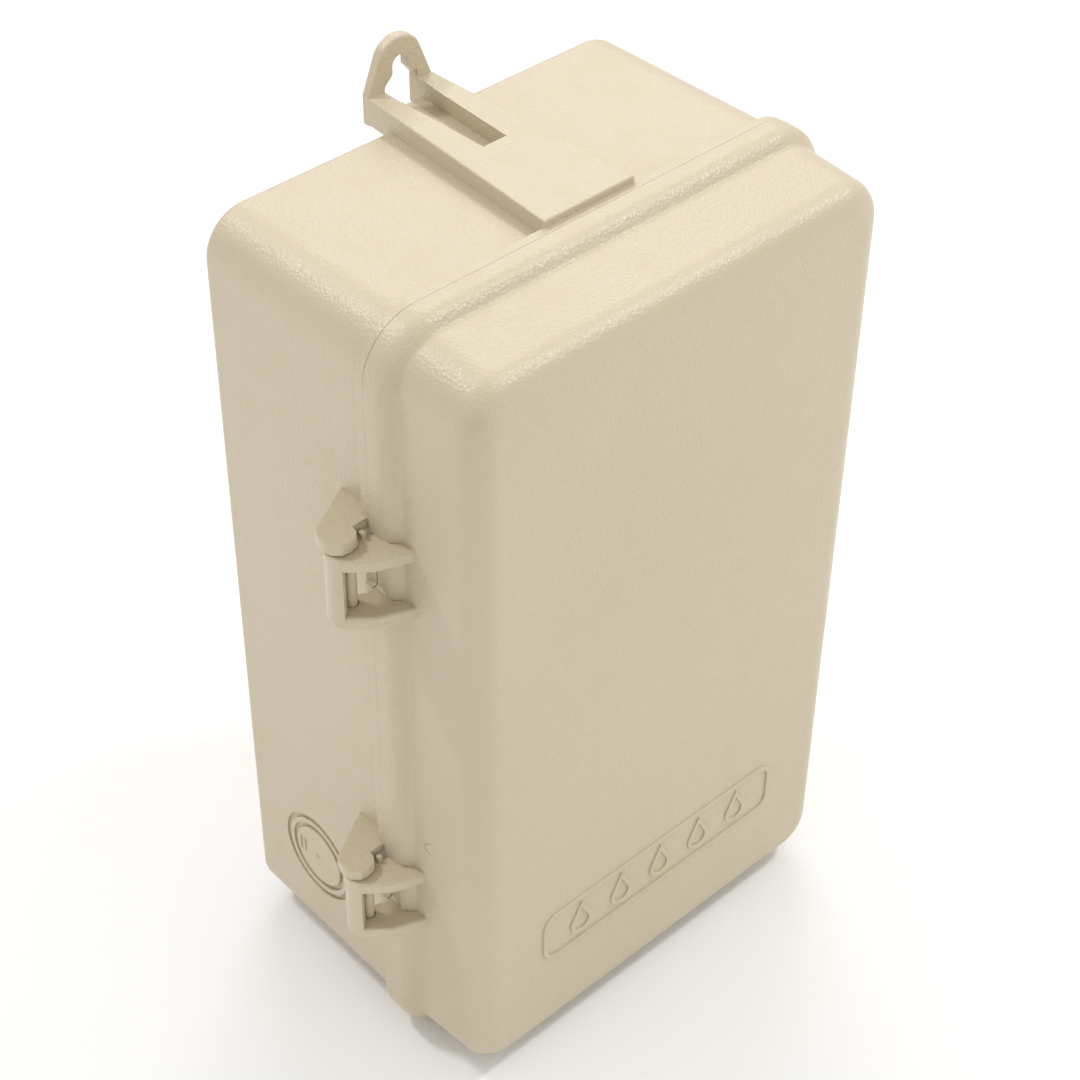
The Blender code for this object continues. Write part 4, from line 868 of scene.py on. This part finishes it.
def buildKnob():
    centre = lowerShape["timer"]
    profile = [(0, -40.0), (1.6, -40.0), (1.9, -40.3), (1.9, -54.0), (14.1, -54.0), (14.5, -54.4), (14.5, -56.4),
               (14.3, -56.8), (13.8, -57.0), (11.6, -57.6), (11.1, -58.2), (9.9, -67.4), (9.5, -68.2), (8.7, -68.7),
               (7.6, -68.8), (6.6, -68.5), (0, -68.4)]
    knob = asObject("runTimeKnob", spun(profile, centre, "y", 96))
    flutes = []
    for step in range(lowerShape["knobFlutes"]):
        angle = 360.0 * (step + 0.5) / lowerShape["knobFlutes"]
        flute = spun([(0, -57.9), (0.6, -57.9), (1.1, -58.4), (1.1, -72.0), (0, -72.0)],
                     (centre[0], centre[1] + 11.3), "y", 20)
        flutes.append(turnAbout(flute, centre, angle))
    carve(knob, gather(flutes))
    ridge = [(centre[0] + x, centre[1] + z)
             for x, z in ((-1.3, -8), (1.3, -8), (1.2, 10.5), (0.7, 14), (-0.7, 14), (-1.2, 10.5))]
    slope = asObject("ridge", prism(ridge, -56.6, -69.4, "y", 0.3))
    join(knob, takeApart(slope))
    dress(knob, "knob_body", switchBlack, ["run_time_knob"])
    line = boxShape((centre[0] - 0.4, -69.5, centre[1] + 1.0), (centre[0] + 0.4, -69.3, centre[1] + 13.4), 0.05)
    dress(asObject("knobLine", line), "knob_body", printWhite)


def buildPanelPrint():
    centre, level, marks = lowerShape["timer"], -51.5, []
    for step, minutes in enumerate(lowerShape["minutes"]):
        turn = lowerShape["turn"] * step / (len(lowerShape["minutes"]) - 1)
        place = arcPoints(centre, 19.6, 90 - turn, 90 - turn, 1)[0]
        marks.append(drawText(str(minutes), (place[0], level, place[1]), 3.2))
    for step in range(31):
        turn = lowerShape["turn"] * step / 30
        length = 1.9 if step % 5 == 0 else 1.0
        tick = boxShape((centre[0] - 0.16, level - 0.05, centre[1] + 15.2),
                        (centre[0] + 0.16, level + 0.2, centre[1] + 15.2 + length))
        marks.append(turnAbout(tick, centre, turn))
    marks.append(boxShape((-50.5, level - 0.05, 101.4), (-6.5, level + 0.2, 101.8)))
    marks.append(boxShape((-50.5, level - 0.05, 67.2), (-6.5, level + 0.2, 67.6)))
    for step in range(3):  # a drop for each watering strength
        middle, size = (-38.5 + step * 13.0, 83.5), 2.4 + step * 0.9
        drop = [(middle[0], middle[1] + size * 2.1), *arcPoints(middle, size, 30, -210, 20)]
        inner = [(middle[0], middle[1] + size * 1.45), *arcPoints(middle, size * 0.72, 30, -210, 20)]
        shape = asObject("drop", prism(drop, level + 0.2, level - 0.06))
        carve(shape, prism(inner, level + 1, level - 1))
        marks.append(takeApart(shape))
    switchZ = (95.5, 84.0, 72.5)  # clock, off and on beside the rocker
    marks.append(ring((51.2, switchZ[1]), 1.5, 1.05, level + 0.2, level - 0.06, "y", 40))
    marks.append(boxShape((50.9, level - 0.06, switchZ[2] + 1.5), (51.5, level + 0.2, switchZ[2] + 4.5)))
    marks.append(ring((51.2, switchZ[0] - 2.6), 1.8, 1.4, level + 0.2, level - 0.06, "y", 40))
    marks.append(boxShape((51.05, level - 0.06, switchZ[0] - 2.7), (51.35, level + 0.2, switchZ[0] - 1.4)))
    marks.append(boxShape((51.05, level - 0.06, switchZ[0] - 2.75), (52.2, level + 0.2, switchZ[0] - 2.45)))
    dress(asObject("panelPrint", gather(marks)), "case_body", printWhite)


def buildTerminalPrint():
    figures = [drawText(str(number), (x, -31.0, 31.2), 2.3) for number, x in enumerate(terminalPlaces, 1)]
    dress(asObject("terminalFigures", gather(figures)), "case_body", printWhite)
    plates = [boxShape((x - 4.6, -26.5, 34.5), (x + 4.6, -25.1, 48.6), 0.25) for x in terminalPlaces]
    dress(asObject("terminalPlates", gather(plates)), "case_body", zincScrew)


leadRoutes = {
    "leadRed": ("lead_transformer_1", leadRed, "lead_red", (
        (-8, -39, 65.6), (-8, -39.2, 61), (-10.5, -38.4, 56), (-19.5, -34, 53), (-22.3, -28.5, 49.5),
        (-22.5, -26.1, 45.4))),
    "leadWhite": ("lead_transformer_2", leadWhite, "lead_white", (
        (-8, -32, 65.6), (-8, -32.2, 62), (-7.8, -32, 56), (-7.5, -29, 50.5), (-7.5, -26.1, 45.4))),
    "leadYellow": ("lead_timer", leadYellow, "lead_yellow", (
        (20, -30, 66.6), (18.5, -31, 62.5), (12, -33, 57), (8.4, -31.5, 53), (7.5, -28.5, 49.5),
        (7.5, -26.1, 45.4))),
}


def smoothRoute(points, steps=10):
    points = [Vector(point) for point in points]
    padded = [2 * points[0] - points[1], *points, 2 * points[-1] - points[-2]]
    route = []
    for before, here, there, after in zip(padded, padded[1:], padded[2:], padded[3:]):
        for t in [step / steps for step in range(steps)]:
            route.append(0.5 * (2 * here + (there - before) * t
                                + (2 * before - 5 * here + 4 * there - after) * t * t
                                + (3 * here - before - 3 * there + after) * t * t * t))
    return route + [points[-1]]


def buildLeads():
    for name, (node, finish, slotName, points) in leadRoutes.items():
        curve = bpy.data.curves.new(name, "CURVE")
        curve.dimensions = "3D"
        curve.bevel_depth = 0.75
        curve.bevel_resolution = 5
        curve.use_fill_caps = True
        route = smoothRoute(points)
        spline = curve.splines.new("POLY")
        spline.points.add(len(route) - 1)
        for point, place in zip(spline.points, route):
            point.co = (*place, 1.0)
        holder = bpy.data.objects.new(name + "Line", curve)
        bpy.context.scene.collection.objects.link(holder)
        bpy.context.view_layer.update()
        mesh = bpy.data.meshes.new_from_object(holder.evaluated_get(bpy.context.evaluated_depsgraph_get()))
        bpy.data.objects.remove(holder, do_unlink=True)
        builder = bmesh.new()
        builder.from_mesh(mesh)
        bmesh.ops.remove_doubles(builder, verts=builder.verts, dist=0.0005)
        bmesh.ops.recalc_face_normals(builder, faces=builder.faces)
        dress(asObject(name, builder), "case_body", finish, [node])
        eye = ring(points[-1][::2], 3.2, 1.9, -26.6, -25.9, "y", 40)
        dress(asObject(name + "Eye", eye), "case_body", zincScrew)


def buildCard():
    refine("scheduleCard", "schedule_card", cardPaper, 0.08)
    clips = []
    for side in (-1, 1):
        outline = [(side * x, y) for x, y in
                   ((42.4, -93.3), (44.0, -93.3), (44.0, -91.0), (40.6, -91.0), (40.6, -91.9), (42.4, -91.9))]
        clips += [prism(outline, z, z + 16, "z", 0.2) for z in (78, 160)]
    dress(asObject("cardClips", gather(clips)), "cover_body", enclosureBeige)


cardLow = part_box("schedule_card")[0]
cardPaper = cardFinish("cardPaper", (0.82, 0.80, 0.73), (0.25, 0.30, 0.38), cardLow)
buildTransformer()
buildTimer()
buildKnob()
buildPanelPrint()
buildTerminalPrint()
buildLeads()
buildCard()
print("lower half ready")


# Floor, light and camera

stageShape = {
    "floorDrop": 0.0004, "floorHalf": 3.0, "world": 0.72, "camera": (-0.33043, -0.40680, 0.29774),
    "backward": (-0.51588, -0.54528, 0.66071), "roll": 0.871, "lens": 80.62, "shift": (-0.0058, 0.0025),
    "lights": (  # name, place, size, watts, aim
        ("keyRight", (0.65, -0.43, 0.98), 0.16, 5.6, (0, -0.03, -0.1)),
        ("keyBack", (-0.40, 0.68, 0.96), 0.16, 5.2, (0, -0.03, -0.1)),
        ("topSheen", (0.80, 0.82, 0.95), 0.8, 5.5, (0, -0.03, -0.03)),
        ("front", (0.25, -1.5, 0.35), 0.8, 2.0, (0, -0.05, -0.12)),
        ("left", (-1.4, -0.25, 0.25), 0.8, 0.9, (0, -0.05, -0.12)),
    ),
}


def buildStage():
    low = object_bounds()[0]
    builder = bmesh.new()
    bmesh.ops.create_grid(builder, x_segments=8, y_segments=8, size=stageShape["floorHalf"])
    bmesh.ops.translate(builder, vec=(0, 0, low[2] - stageShape["floorDrop"]), verts=builder.verts)
    mesh = bpy.data.meshes.new("floor")
    builder.to_mesh(mesh)
    builder.free()
    floor = bpy.data.objects.new("floor", mesh)
    bpy.context.scene.collection.objects.link(floor)
    paper = plasticFinish("floorPaper", (0.93, 0.93, 0.92), (0.91, 0.91, 0.90), 0.8, 900, 0.00001)
    floor.data.materials.append(paper)
    world = bpy.data.worlds.new("studio")
    world.use_nodes = True
    world.node_tree.nodes["Background"].inputs["Color"].default_value = (1, 1, 1, 1)
    world.node_tree.nodes["Background"].inputs["Strength"].default_value = stageShape["world"]
    bpy.context.scene.world = world
    for name, place, size, watts, aim in stageShape["lights"]:
        light = bpy.data.lights.new(name, "AREA")
        light.size = size
        light.energy = watts
        lamp = bpy.data.objects.new(name, light)
        bpy.context.scene.collection.objects.link(lamp)
        lamp.location = place
        lamp.rotation_euler = (Vector(aim) - Vector(place)).to_track_quat("-Z", "Y").to_euler()


def buildCamera():
    camera = bpy.data.cameras.new("camera")
    camera.lens = stageShape["lens"]
    camera.sensor_width = 36.0
    camera.shift_x, camera.shift_y = stageShape["shift"]
    camera.clip_start = 0.01
    holder = bpy.data.objects.new("camera", camera)
    bpy.context.scene.collection.objects.link(holder)
    back = Vector(stageShape["backward"]).normalized()
    right = Vector((0, 0, 1)).cross(back).normalized()
    up = back.cross(right)
    roll = math.radians(stageShape["roll"])
    tiltedRight = right * math.cos(roll) + up * math.sin(roll)
    tiltedUp = up * math.cos(roll) - right * math.sin(roll)
    turn = Matrix((tiltedRight, tiltedUp, back)).transposed().to_4x4()
    holder.matrix_world = Matrix.Translation(stageShape["camera"]) @ turn
    bpy.context.scene.camera = holder


buildStage()
buildCamera()
bpy.context.scene.view_settings.view_transform = "Standard"

for mesh in list(bpy.data.meshes):
    if mesh.users == 0:
        bpy.data.meshes.remove(mesh)
